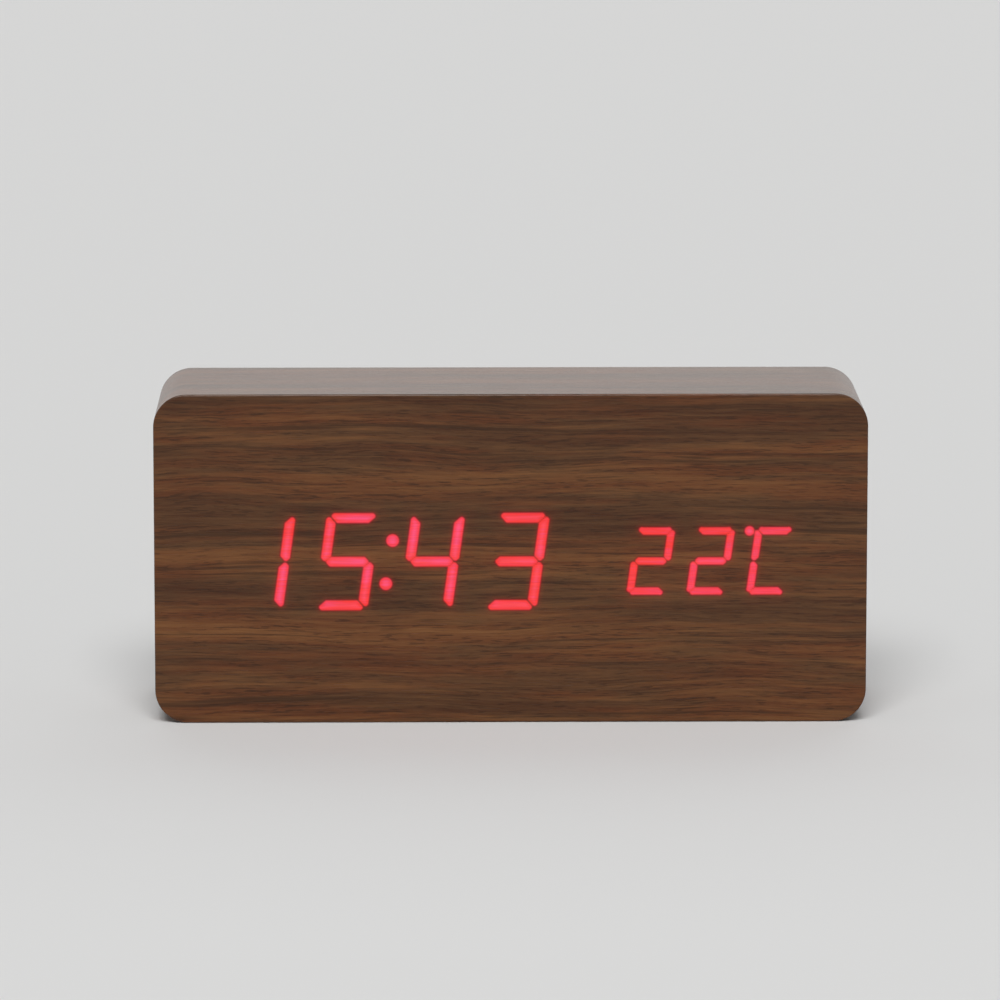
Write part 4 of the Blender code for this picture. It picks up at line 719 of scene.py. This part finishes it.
def dress(finish, *names, edge=0.0):
    """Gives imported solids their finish, and rounded edges where an edge width is given."""
    for name in names:
        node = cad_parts[name]
        for slot in node.material_slots:
            slot.material = finish.material
        if edge <= 0.0:
            continue
        node.modifiers.new("smooth_shading", "NODES").node_group = smooth_shading()
        node.modifiers.new("weld", "WELD").merge_threshold = WELD_DISTANCE
        fill(
            node.modifiers.new("flat_faces", "DECIMATE"), decimate_type="DISSOLVE", angle_limit=FLAT_ANGLE)
        fill(
            node.modifiers.new("rounded_edges", "BEVEL"), width=edge, segments=EDGE_STEPS,
            limit_method="ANGLE", angle_limit=SHARP_ANGLE, harden_normals=True)
        even_normals(node)


# Casing


def outline_rule(mesh):
    """A rule for how far round the casing's outline a point lies, from the middle of the underside and up
    the left side, and the length of the whole outline."""
    middle = (CASE_HIGH.z + CASE_LOW.z) / 2

    def turn(point):
        return math.atan2(point.x, point.z - middle)

    ring = sorted((vert.co.copy() for vert in mesh.verts if vert.co.y < 0), key=turn)
    steps = [(second - first).length for first, second in zip(ring, ring[1:] + ring[:1])]
    reached = list(itertools.accumulate(steps, initial=0.0))
    turns = [turn(point) for point in ring]
    return lambda point: np.interp(turn(point), turns, reached[:-1]), reached[-1]


def stroke_outline(digits, number, letter, grow):
    """The six corners of one slanted stroke, widened on every side by grow."""
    across, up = STROKE_PLACES[letter]
    level = letter in "agd"
    half = digits["stroke"] / 2 + grow
    reach = (digits["half_width"] if level else digits["row"] / 2) - STROKE_GAP / 2 + grow
    tip = OUTER_TIP_SHARE * digits["stroke"] * (up if level else -across)
    if level:
        ends = [(reach + LEVEL_REACH_SHARE * abs(tip), tip)] * 2
    else:
        outer_end = (reach + UPRIGHT_REACH_SHARE * abs(tip), tip)
        inner_end = (reach, tip / 2)
        ends = [inner_end, outer_end] if up > 0 else [outer_end, inner_end]
    (low_reach, low_tip), (high_reach, high_tip) = ends
    corners = [
        (-low_reach, low_tip), (half + low_tip - low_reach, -half), (high_reach - half - high_tip, -half),
        (high_reach, high_tip), (high_reach - half + high_tip, half), (half - low_tip - low_reach, half),
    ]
    if not level:
        corners = [(-b, a) for a, b in corners]
    x = digits["first"] + number * digits["pitch"] + across * digits["half_width"]
    rise = up * digits["row"]
    return [(x + a + DIGIT_SLANT * (rise + b), DISPLAY_Z + rise + b) for a, b in corners]


def distance_to_outline(points, corners):
    """The distance of each point from a convex outline with corners anticlockwise, negative inside it."""
    inside = np.full(len(points), -np.inf)
    nearest = np.full(len(points), np.inf)
    for start, end in zip(corners, corners[1:] + corners[:1]):
        start, run = np.array(start), np.array(end) - np.array(start)
        length = np.hypot(*run)
        away = points - start
        side = (away[:, 0] * run[1] - away[:, 1] * run[0]) / length
        share = np.clip((away @ run) / length**2, 0, 1)
        inside = np.maximum(inside, side)
        nearest = np.minimum(nearest, np.hypot(*(away - share[:, None] * run).T))
    return np.where(inside < 0, -nearest, nearest)


def lit_distances(points):
    """The distance of each point of the face from the nearest lit stroke or dot, negative inside it."""
    found = np.full(len(points), UNLIT_DISTANCE)
    for digits in (LARGE_DIGITS, SMALL_DIGITS):
        for number, shown in enumerate(digits["shown"]):
            for letter in LIT_STROKES[shown]:
                corners = stroke_outline(digits, number, letter, -STROKE_ROUNDING)
                away = distance_to_outline(points, corners) - STROKE_ROUNDING - digits["bleed"]
                found = np.minimum(found, away)
    for x, rise, radius in DOTS:
        away = np.hypot(points[:, 0] - x, points[:, 1] - DISPLAY_Z - rise) - radius
        found = np.minimum(found, away)
    return found


def make_front_skin(foil, display):
    """The front foil, its face finely divided where the display shines through."""
    mesh = plate((CASE_LOW.y, FRONT_FILM_BACK), foil.corner_radius, CASE_CORNER_STEPS)
    round_edges(mesh, rim_of(mesh, CASE_LOW.y), foil.edge_radius, RIM_STEPS)
    squares = isolate(
        mesh, CASE_LOW.y,
        np.linspace(SHELL_LOW.x - PATCH_MARGIN, SHELL_HIGH.x + PATCH_MARGIN, PATCH_SQUARES + 1),
        (SHELL_LOW.z - PATCH_MARGIN, SHELL_HIGH.z + PATCH_MARGIN))
    edges = {edge for square in squares for edge in square.edges}
    bmesh.ops.subdivide_edges(mesh, edges=list(edges), cuts=PATCH_CUTS, use_grid_fill=True)
    layer = mesh.verts.layers.float.new("lit_distance")
    points = np.array([(vert.co.x, vert.co.z) for vert in mesh.verts])
    for vert, away in zip(mesh.verts, lit_distances(points)):
        vert[layer] = away if abs(vert.co.y - CASE_LOW.y) < HAIR else UNLIT_DISTANCE
    lay_map(mesh, "grain", lambda point: (point.x, point.z))
    finish = walnut_foil("walnut_front", foil, display)
    even_normals(add_piece("front_foil", mesh, finish, "case", "front_film"))


def make_side_skin(foil, finish):
    """The foil wrapped round the four sides, its grain running round the block."""
    mesh = plate((FRONT_FILM_BACK, REAR_FILM_FRONT), foil.corner_radius, CASE_CORNER_STEPS)
    ends = faces_at(mesh, FRONT_FILM_BACK) + faces_at(mesh, REAR_FILM_FRONT)
    bmesh.ops.delete(mesh, geom=ends, context="FACES_ONLY")
    bmesh.ops.recalc_face_normals(mesh, faces=mesh.faces)
    round_length, lap = outline_rule(mesh)
    bmesh.ops.solidify(mesh, geom=mesh.faces[:], thickness=FOIL)
    lay_map(mesh, "grain", lambda point: (round_length(point), point.y), lap)
    even_normals(add_piece("side_foil", mesh, finish, "case", "side_wrap"))


def make_rear_skin(foil, finish):
    """The rear foil, cut out round the panel."""
    y_span = (REAR_FILM_FRONT, CASE_HIGH.y)
    mesh = plate(y_span, foil.corner_radius, CASE_CORNER_STEPS)
    round_edges(mesh, rim_of(mesh, CASE_HIGH.y), foil.edge_radius, RIM_STEPS)
    for y in y_span:
        opening = isolate(
            mesh, y, (PANEL_LOW.x - PANEL_GAP, PANEL_HIGH.x + PANEL_GAP),
            (PANEL_LOW.z - PANEL_GAP, PANEL_HIGH.z + PANEL_GAP))
        bmesh.ops.delete(mesh, geom=opening, context="FACES_ONLY")
    loose = [edge for edge in mesh.edges if edge.is_boundary]
    corners = bmesh.ops.bridge_loops(mesh, edges=loose)["edges"]
    round_edges(mesh, corners, OPENING_RADIUS, OPENING_CORNER_STEPS)
    lay_map(mesh, "grain", lambda point: (-point.x, point.z + CASE_HIGH.x))
    even_normals(add_piece("rear_foil", mesh, finish, "case", "rear_film"))


# Cells


def cell_outline(length, radius):
    """Half of a cell's section as (along, radius), from the flat end to the nub."""
    shoulder = length - CELL_NUB
    sunk = shoulder - CELL_GROOVE
    disc_edge = CELL_DISC + 2 * CELL_GROOVE
    lip = radius - CELL_LIP
    nub_edge = CELL_LIP / 2
    return [
        (0, 0), (0, CELL_DISC), (CELL_GROOVE, CELL_DISC + CELL_GROOVE), (0, disc_edge), (0, lip),
        (CELL_LIP, radius), (shoulder - CELL_LIP, radius), (shoulder, lip), (shoulder, disc_edge),
        (sunk, disc_edge - CELL_GROOVE), (sunk, CELL_NUB_RADIUS + CELL_GROOVE), (shoulder, CELL_NUB_RADIUS),
        (length - nub_edge, CELL_NUB_RADIUS), (length, CELL_NUB_RADIUS - nub_edge), (length, 0),
    ]


def cell_sleeve(length):
    """A printed sleeve between bare steel ends: slate blue, with a pale band and the sign of each end."""
    finish = Finish("cell_sleeve", 0.3)
    flat = finish.node("UVMap", uv_map="turn")
    around, along = finish.axis(flat, "X"), finish.axis(flat, "Y")

    def within(value, middle, half):
        return finish.math("LESS_THAN", finish.away(value, middle), half)

    def stroke(middle, half_around, half_along):
        return finish.math("MULTIPLY", within(around, 0.0, half_around), within(along, middle, half_along))

    sleeve = within(along, (length - CELL_NUB) / 2, (length - CELL_NUB) / 2 - CELL_LIP)
    band = finish.math("MULTIPLY", sleeve, finish.math("GREATER_THAN", along, length - CELL_BAND))
    printed = within(along, length - CELL_BAND - 2 * CELL_LIP, CELL_LIP / 2)
    for sign in (
        (length - CELL_SIGN, SIGN_HALF, SIGN_WIDTH), (length - CELL_SIGN, SIGN_WIDTH, SIGN_HALF),
        (CELL_SIGN, SIGN_HALF, SIGN_WIDTH),
    ):
        printed = finish.math("MAXIMUM", printed, stroke(*sign))
    cloud = finish.noise(0.004)
    colour = finish.mix(sleeve, (0.66, 0.65, 0.62), (0.022, 0.048, 0.085))
    colour = finish.mix(band, colour, (0.42, 0.44, 0.45))
    colour = finish.mix(printed, colour, (0.84, 0.84, 0.82))
    bare = finish.math("SUBTRACT", 1.0, sleeve)
    finish.set(
        Base_Color=finish.mix(finish.spread(cloud, *NOISE_RANGE, 0.0, 0.12), colour, (0.0, 0.0, 0.0)),
        Metallic=finish.math("MAXIMUM", bare, finish.math("MULTIPLY", band, 0.5)),
        Roughness=finish.spread(cloud, *NOISE_RANGE, 0.25, 0.34))
    finish.bump(cloud, 0.000004, 0.3)
    return finish


def make_cell(name, nub_side, finish):
    """A dry cell that lies along X, its nub on the right if nub_side is 1 and on the left if it is -1."""
    low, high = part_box(name)
    centre = middle_of(name)
    radius = (high.z - low.z) / 2
    start = Vector((low.x if nub_side > 0 else high.x, centre.y, centre.z))
    mesh = bmesh.new()
    outline = [
        mesh.verts.new(start + Vector((nub_side * along, 0, away)))
        for along, away in cell_outline(high.x - low.x, radius)
    ]
    for first, second in zip(outline, outline[1:]):
        mesh.edges.new((first, second))
    bmesh.ops.spin(
        mesh, geom=mesh.verts[:] + mesh.edges[:], cent=start, axis=(1, 0, 0), dvec=(0, 0, 0),
        angle=2 * math.pi, steps=CELL_STEPS, use_merge=True, use_duplicate=False)
    bmesh.ops.remove_doubles(mesh, verts=mesh.verts, dist=HAIR / 10)
    lay_map(mesh, "turn", lambda point: (
        math.atan2(point.z - centre.z, point.y - centre.y) * radius, abs(point.x - start.x)),
        2 * math.pi * radius)
    add_piece(name.replace("aaa", "dry"), mesh, finish, "case", name)


# Buttons


def make_button(name, finish):
    """An oblong button with a flange behind the panel, a rounded rim and a slightly domed top."""
    low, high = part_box(name)
    flange_back = low.y + BUTTON_FLANGE_THICKNESS
    mesh = box_mesh((low.x, high.x), (low.y, flange_back), (low.z, high.z))
    round_edges(mesh, deep_edges(mesh), (high.z - low.z) / 2 - HAIR, BUTTON_CORNER_STEPS)
    cap = faces_at(mesh, flange_back)
    bmesh.ops.inset_region(mesh, faces=cap, thickness=BUTTON_FLANGE, use_even_offset=True)
    cap = bmesh.ops.extrude_discrete_faces(mesh, faces=cap)["faces"]
    shoulder = high.y - BUTTON_DOME
    bmesh.ops.translate(mesh, verts=cap[0].verts, vec=(0, shoulder - flange_back, 0))
    round_edges(mesh, list(cap[0].edges), BUTTON_EDGE, BUTTON_EDGE_STEPS)
    top = faces_at(mesh, shoulder)
    for share in DOME_SHARES:
        bmesh.ops.inset_region(
            mesh, faces=top, thickness=DOME_INSET, depth=share * BUTTON_DOME, use_even_offset=True)
    even_normals(add_piece(name + "_cap", mesh, finish, name, name))


# Marks


def ring_mark():
    mesh = bmesh.new()
    for radius in RING_RADII:
        bmesh.ops.create_circle(mesh, segments=MARK_STEPS, radius=radius)
    bmesh.ops.bridge_loops(mesh, edges=mesh.edges[:])
    return mesh


def triangle_mark(radius, turn):
    mesh = bmesh.new()
    bmesh.ops.create_circle(
        mesh, cap_ends=True, segments=3, radius=radius, matrix=Matrix.Rotation(turn, 4, "Z"))
    return mesh


def direct_current_mark():
    """A bar over three dashes."""
    mesh = bmesh.new()
    dashes = [(side * DASH_PITCH, -BAR_PITCH / 2, DASH_WIDTH) for side in (-1, 0, 1)]
    for x, y, width in ((0, BAR_PITCH / 2, BAR_WIDTH), *dashes):
        matrix = Matrix.Translation((x, y, 0)) @ Matrix.Diagonal((width, BAR_HEIGHT, 1, 1))
        bmesh.ops.create_grid(mesh, x_segments=1, y_segments=1, size=0.5, matrix=matrix)
    return mesh


def add_mark(name, mesh, x, z, relief, finish, body):
    """Stands a flat mark on the panel, a little sunk into it."""
    bmesh.ops.rotate(mesh, verts=mesh.verts, matrix=Matrix.Rotation(math.pi / 2, 3, "X"))
    bmesh.ops.recalc_face_normals(mesh, faces=mesh.faces)
    if mesh.faces[0].normal.y < 0:
        bmesh.ops.reverse_faces(mesh, faces=mesh.faces)
    bmesh.ops.translate(mesh, verts=mesh.verts, vec=(x, PANEL_HIGH.y - MARK_SUNK, z))
    made = bmesh.ops.extrude_face_region(mesh, geom=mesh.faces[:], use_keep_orig=True)
    top = [part for part in made["geom"] if isinstance(part, bmesh.types.BMVert)]
    bmesh.ops.translate(mesh, verts=top, vec=(0, relief + MARK_SUNK, 0))
    add_piece(name, mesh, finish, body)


# Stage


def soft_sun(name, strength, tilt, turn, spread):
    """A broad, even light. Untilted it shines straight down, and unturned it comes from the front."""
    light = fill(bpy.data.lights.new(name, "SUN"), energy=strength, angle=math.radians(spread))
    new_object(name, light).rotation_euler = (math.radians(tilt), 0.0, math.radians(turn))


def studio_world(settings):
    """Even light from all round. What the camera and reflections see of it is the backdrop's pale grey."""
    world = bpy.data.worlds.new("studio")
    world.use_nodes = True
    nodes = Nodes(world.node_tree)
    lit = nodes.tree.nodes["Background"]
    nodes.feed(lit.inputs["Color"], (1.0, 1.0, 1.0))
    nodes.feed(lit.inputs["Strength"], settings.ambient)
    seen = nodes.node("Background", {"Color": settings.backdrop})
    share = nodes.node("LightPath", output="Is Camera Ray")
    rays = share.node.outputs
    for kind in ("Is Glossy Ray", "Is Transmission Ray"):
        share = nodes.math("MAXIMUM", share, rays[kind])
    choice = nodes.node("MixShader", {0: share, 1: lit.outputs[0], 2: seen})
    nodes.feed(nodes.tree.nodes["World Output"].inputs["Surface"], choice)
    bpy.context.scene.world = world


def make_camera():
    camera = new_object("camera", fill(bpy.data.cameras.new("camera"), **CAMERA_LENS))
    bpy.context.scene.camera = fill(camera, location=CAMERA_PLACE, rotation_euler=CAMERA_TURN)


def make_floor(settings):
    mesh = bmesh.new()
    bmesh.ops.create_circle(mesh, cap_ends=True, segments=FLOOR_SIDES, radius=settings.floor_radius)
    bmesh.ops.translate(mesh, verts=mesh.verts, vec=(0, 0, CASE_LOW.z - HAIR))
    paper = Finish("studio_paper", 0.9, 0.0, 1.3)
    # Painted light: the floor is painted brighter near the camera and darker beyond.
    away = paper.spread(paper.axis(paper.place(), "Y"), *FLOOR_PAINTED_FALLOFF_SPAN)
    near = settings.floor_colour
    paper.set(Base_Color=paper.mix(away, near, FAR_FLOOR_PAINTED_FALLOFF * near))
    mesh_object("studio_floor", mesh, paper)


# Operators


class CLOCK_OT_stage(bpy.types.Operator):
    """Set up the floor, the lights and the camera"""

    bl_idname = "clock.stage"
    bl_label = "Stage"

    def execute(self, context):
        settings = context.scene.clock_stage
        make_camera()
        make_floor(settings)
        studio_world(settings)
        soft_sun("key_light", settings.key, **KEY_LIGHT)
        soft_sun("back_light", settings.back, **BACK_LIGHT)
        context.scene.view_settings.view_transform = "Standard"
        return {"FINISHED"}


class CLOCK_OT_foil(bpy.types.Operator):
    """Wrap the casing in walnut foil, lit from behind at the display"""

    bl_idname = "clock.foil"
    bl_label = "Walnut foil"

    def execute(self, context):
        foil = context.scene.clock_foil
        make_front_skin(foil, context.scene.clock_display)
        finish = walnut_foil("walnut_sides", foil)
        make_side_skin(foil, finish)
        make_rear_skin(foil, finish)
        return {"FINISHED"}


class CLOCK_OT_boards(bpy.types.Operator):
    """Finish the fibreboard core"""

    bl_idname = "clock.boards"
    bl_label = "Fibreboard core"

    def execute(self, context):
        dress(fibreboard(), "front_board", "middle_frame", "rear_board")
        return {"FINISHED"}


class CLOCK_OT_display(bpy.types.Operator):
    """Finish the display's shell and light guide"""

    bl_idname = "clock.display"
    bl_label = "Display parts"

    def execute(self, context):
        holder = context.scene.clock_plastic.holder
        dress(moulded_plastic("display_black", holder, 0.5), "display_shell")
        dress(frosted_guide(), "light_guide")
        return {"FINISHED"}


class CLOCK_OT_electronics(bpy.types.Operator):
    """Finish the two circuit boards and what they carry"""

    bl_idname = "clock.electronics"
    bl_label = "Electronics"

    def execute(self, context):
        black = context.scene.clock_plastic.holder
        board = circuit_board("circuit_board")
        board.coat(LAMP, "main_board", front=(-HAIR, LED_HEIGHT - HAIR))
        board.coat(RESISTOR, "main_board", rear=(-HAIR, RESISTOR_HEIGHT - HAIR))
        dress(board, "main_board")
        dress(circuit_board("control_board"), "control_board")

        for name in ("controller_chip", "clock_chip"):
            low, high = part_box(name)
            half = (high.z - low.z) / 2
            chip = moulded_plastic(name, RESIN, 0.62, 0.00001, FINE_TEXTURE)
            chip.coat(TINNED, name, z=(half - LEG_REACH + HAIR, half + HAIR))
            dress(chip, name)
        dress(moulded_plastic("buzzer_black", black, 0.5), "buzzer", edge=0.00025)
        dress(metal("crystal_can", TIN, 0.30), "crystal", edge=0.0002)

        sleeve = moulded_plastic("capacitor_sleeve", (0.012, 0.022, 0.075), 0.3)
        sleeve.coat(TINNED, "filter_capacitor", rear=(-HAIR, HAIR), around=(0, CAPACITOR_TOP))
        dress(sleeve, "filter_capacitor", edge=0.00015)

        holder = moulded_plastic("holder_black", black, 0.5)
        holder.coat(TINNED, "coin_cell_holder", rear=(-HAIR, CLIP_DEPTH), z=(0, CLIP_HALF_WIDTH))
        dress(holder, "coin_cell_holder")
        dress(metal("coin_metal", (0.70, 0.69, 0.66), 0.24), "coin_cell", edge=0.00015)
        white = moulded_plastic("socket_white", (0.72, 0.70, 0.63), 0.45)
        dress(white, "battery_socket", "control_socket")

        case = moulded_plastic("switch_black", RESIN, 0.5, 0.00001, FINE_TEXTURE)
        case.coat(TINNED, "set_switch", rear=(-HAIR, HAIR))
        dress(case, "set_switch", "up_switch", "down_switch")

        can = metal("microphone_can", TIN, 0.28)
        can.coat(FELT, "microphone", rear=(-HAIR, FELT_DEPTH), around=(0, FELT_RADIUS))
        dress(can, "microphone", edge=0.00012)

        bead = moulded_plastic("thermistor_resin", RESIN, 0.4, 0.00001)
        bead.coat(TINNED, "thermistor", front=(-HAIR, BEAD_RISE))
        dress(bead, "thermistor")
        for name, skin, colour in (
            ("battery_lead_red", "red_wire", (0.50, 0.018, 0.014)),
            ("battery_lead_black", "black_wire", (0.018, 0.018, 0.018)),
            ("control_cable", "grey_wire", (0.30, 0.31, 0.32)),
        ):
            dress(wire_skin(skin, colour), name, edge=0.00008)
        return {"FINISHED"}


class CLOCK_OT_rear(bpy.types.Operator):
    """Finish the rear panel, its door, its buttons, its jack and its screws"""

    bl_idname = "clock.rear"
    bl_label = "Rear panel"

    def execute(self, context):
        plastic = context.scene.clock_plastic
        panel = moulded_plastic("panel_black", plastic.panel, plastic.roughness)
        smooth = moulded_plastic("button_black", plastic.button, 0.38, 0.00001)
        dress(panel, "rear_panel", "battery_door", edge=0.00018)
        for name in ("set_button", "up_button", "down_button"):
            make_button(name, smooth)
        dress(smooth, "set_plunger", "up_plunger", "down_plunger", edge=0.0001)
        dress(smooth, "power_jack", edge=0.0002)
        dress(metal("jack_brass", (0.78, 0.60, 0.30), 0.28), "jack_pin", edge=0.0001)
        for kind in ("panel_screw", "main_board_screw", "control_board_screw"):
            screws = sorted(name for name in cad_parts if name.startswith(kind))
            steel = metal(kind + "_steel", (0.23, 0.23, 0.24), 0.34)
            # The cross recess in each head gets the darker steel as painted shade.
            steel.coat(PAINTED_CROSS_SHADE, *screws, rear=(HAIR, CROSS_DEPTH + HAIR), around=(0, CROSS_REACH))
            dress(steel, *screws, edge=0.0001)
        return {"FINISHED"}


class CLOCK_OT_marks(bpy.types.Operator):
    """Print the signs by the buttons and the jack, and mould one in the battery door"""

    bl_idname = "clock.marks"
    bl_label = "Marks"

    def execute(self, context):
        plastic = context.scene.clock_plastic
        ink = moulded_plastic("grey_ink", plastic.ink, 0.6, 0.000004, 0.0002)
        for name, mesh, part in (
            ("up_mark", triangle_mark(MARK_RADIUS, 0.0), "up_button"),
            ("down_mark", triangle_mark(MARK_RADIUS, math.pi), "down_button"),
            ("set_mark", ring_mark(), "set_button"),
            ("direct_current_mark", direct_current_mark(), "power_jack"),
        ):
            x, _, z = middle_of(part)
            add_mark(name, mesh, x, z + MARK_RISE, PRINT_RELIEF, ink, "case")

        moulded = moulded_plastic("door_mark_black", plastic.mark, 0.3)
        x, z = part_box("battery_door")[0].x + PUSH_MARK_INSET, middle_of("battery_door").z
        pointer = triangle_mark(PUSH_MARK_RADIUS, -math.pi / 2)
        add_mark("push_mark", pointer, x, z, MOULDED_RELIEF, moulded, "battery_door")
        return {"FINISHED"}


class CLOCK_OT_cells(bpy.types.Operator):
    """Lay the four cells in their tray, and finish their contacts"""

    bl_idname = "clock.cells"
    bl_label = "Cells and contacts"

    def execute(self, context):
        low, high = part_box("aaa_cell_1")
        sleeve = cell_sleeve(high.x - low.x)
        for number, nub_side in enumerate((1, -1, 1, -1), 1):
            make_cell(f"aaa_cell_{number}", nub_side, sleeve)
        contacts = [
            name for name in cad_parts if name.endswith("_terminal") or "bridge_contact" in name]
        dress(metal("nickel_plate", (0.72, 0.71, 0.68), 0.24), *contacts)
        return {"FINISHED"}


STEPS = (
    CLOCK_OT_stage, CLOCK_OT_foil, CLOCK_OT_boards, CLOCK_OT_display, CLOCK_OT_electronics, CLOCK_OT_rear,
    CLOCK_OT_marks, CLOCK_OT_cells,
)


class CLOCK_PT_sidebar(bpy.types.Panel):
    """The clock's settings and steps"""

    bl_label = "Wooden Clock"
    bl_idname = "CLOCK_PT_sidebar"
    bl_space_type = "VIEW_3D"
    bl_region_type = "UI"
    bl_category = "Clock"

    def draw(self, context):
        for name, group in SETTINGS.items():
            box = self.layout.box()
            box.label(text=name.removeprefix("clock_").title())
            for setting in group.__annotations__:
                box.prop(getattr(context.scene, name), setting)
        for step in STEPS:
            self.layout.operator(step.bl_idname)


SETTINGS = {
    "clock_foil": FoilSettings,
    "clock_display": DisplaySettings,
    "clock_plastic": PlasticSettings,
    "clock_stage": StageSettings,
}
CLASSES = (*SETTINGS.values(), *STEPS, CLOCK_PT_sidebar)


def register():
    for kind in CLASSES:
        bpy.utils.register_class(kind)
    for name, group in SETTINGS.items():
        setattr(bpy.types.Scene, name, bpy.props.PointerProperty(type=group))


def unregister():
    for name in SETTINGS:
        delattr(bpy.types.Scene, name)
    for kind in reversed(CLASSES):
        bpy.utils.unregister_class(kind)


def main():
    register()
    bpy.ops.clock.stage()
    bpy.ops.clock.foil()
    bpy.ops.clock.boards()
    bpy.ops.clock.display()
    bpy.ops.clock.electronics()
    bpy.ops.clock.rear()
    bpy.ops.clock.marks()
    bpy.ops.clock.cells()
    bpy.context.view_layer.update()


if __name__ == "__main__":
    main()
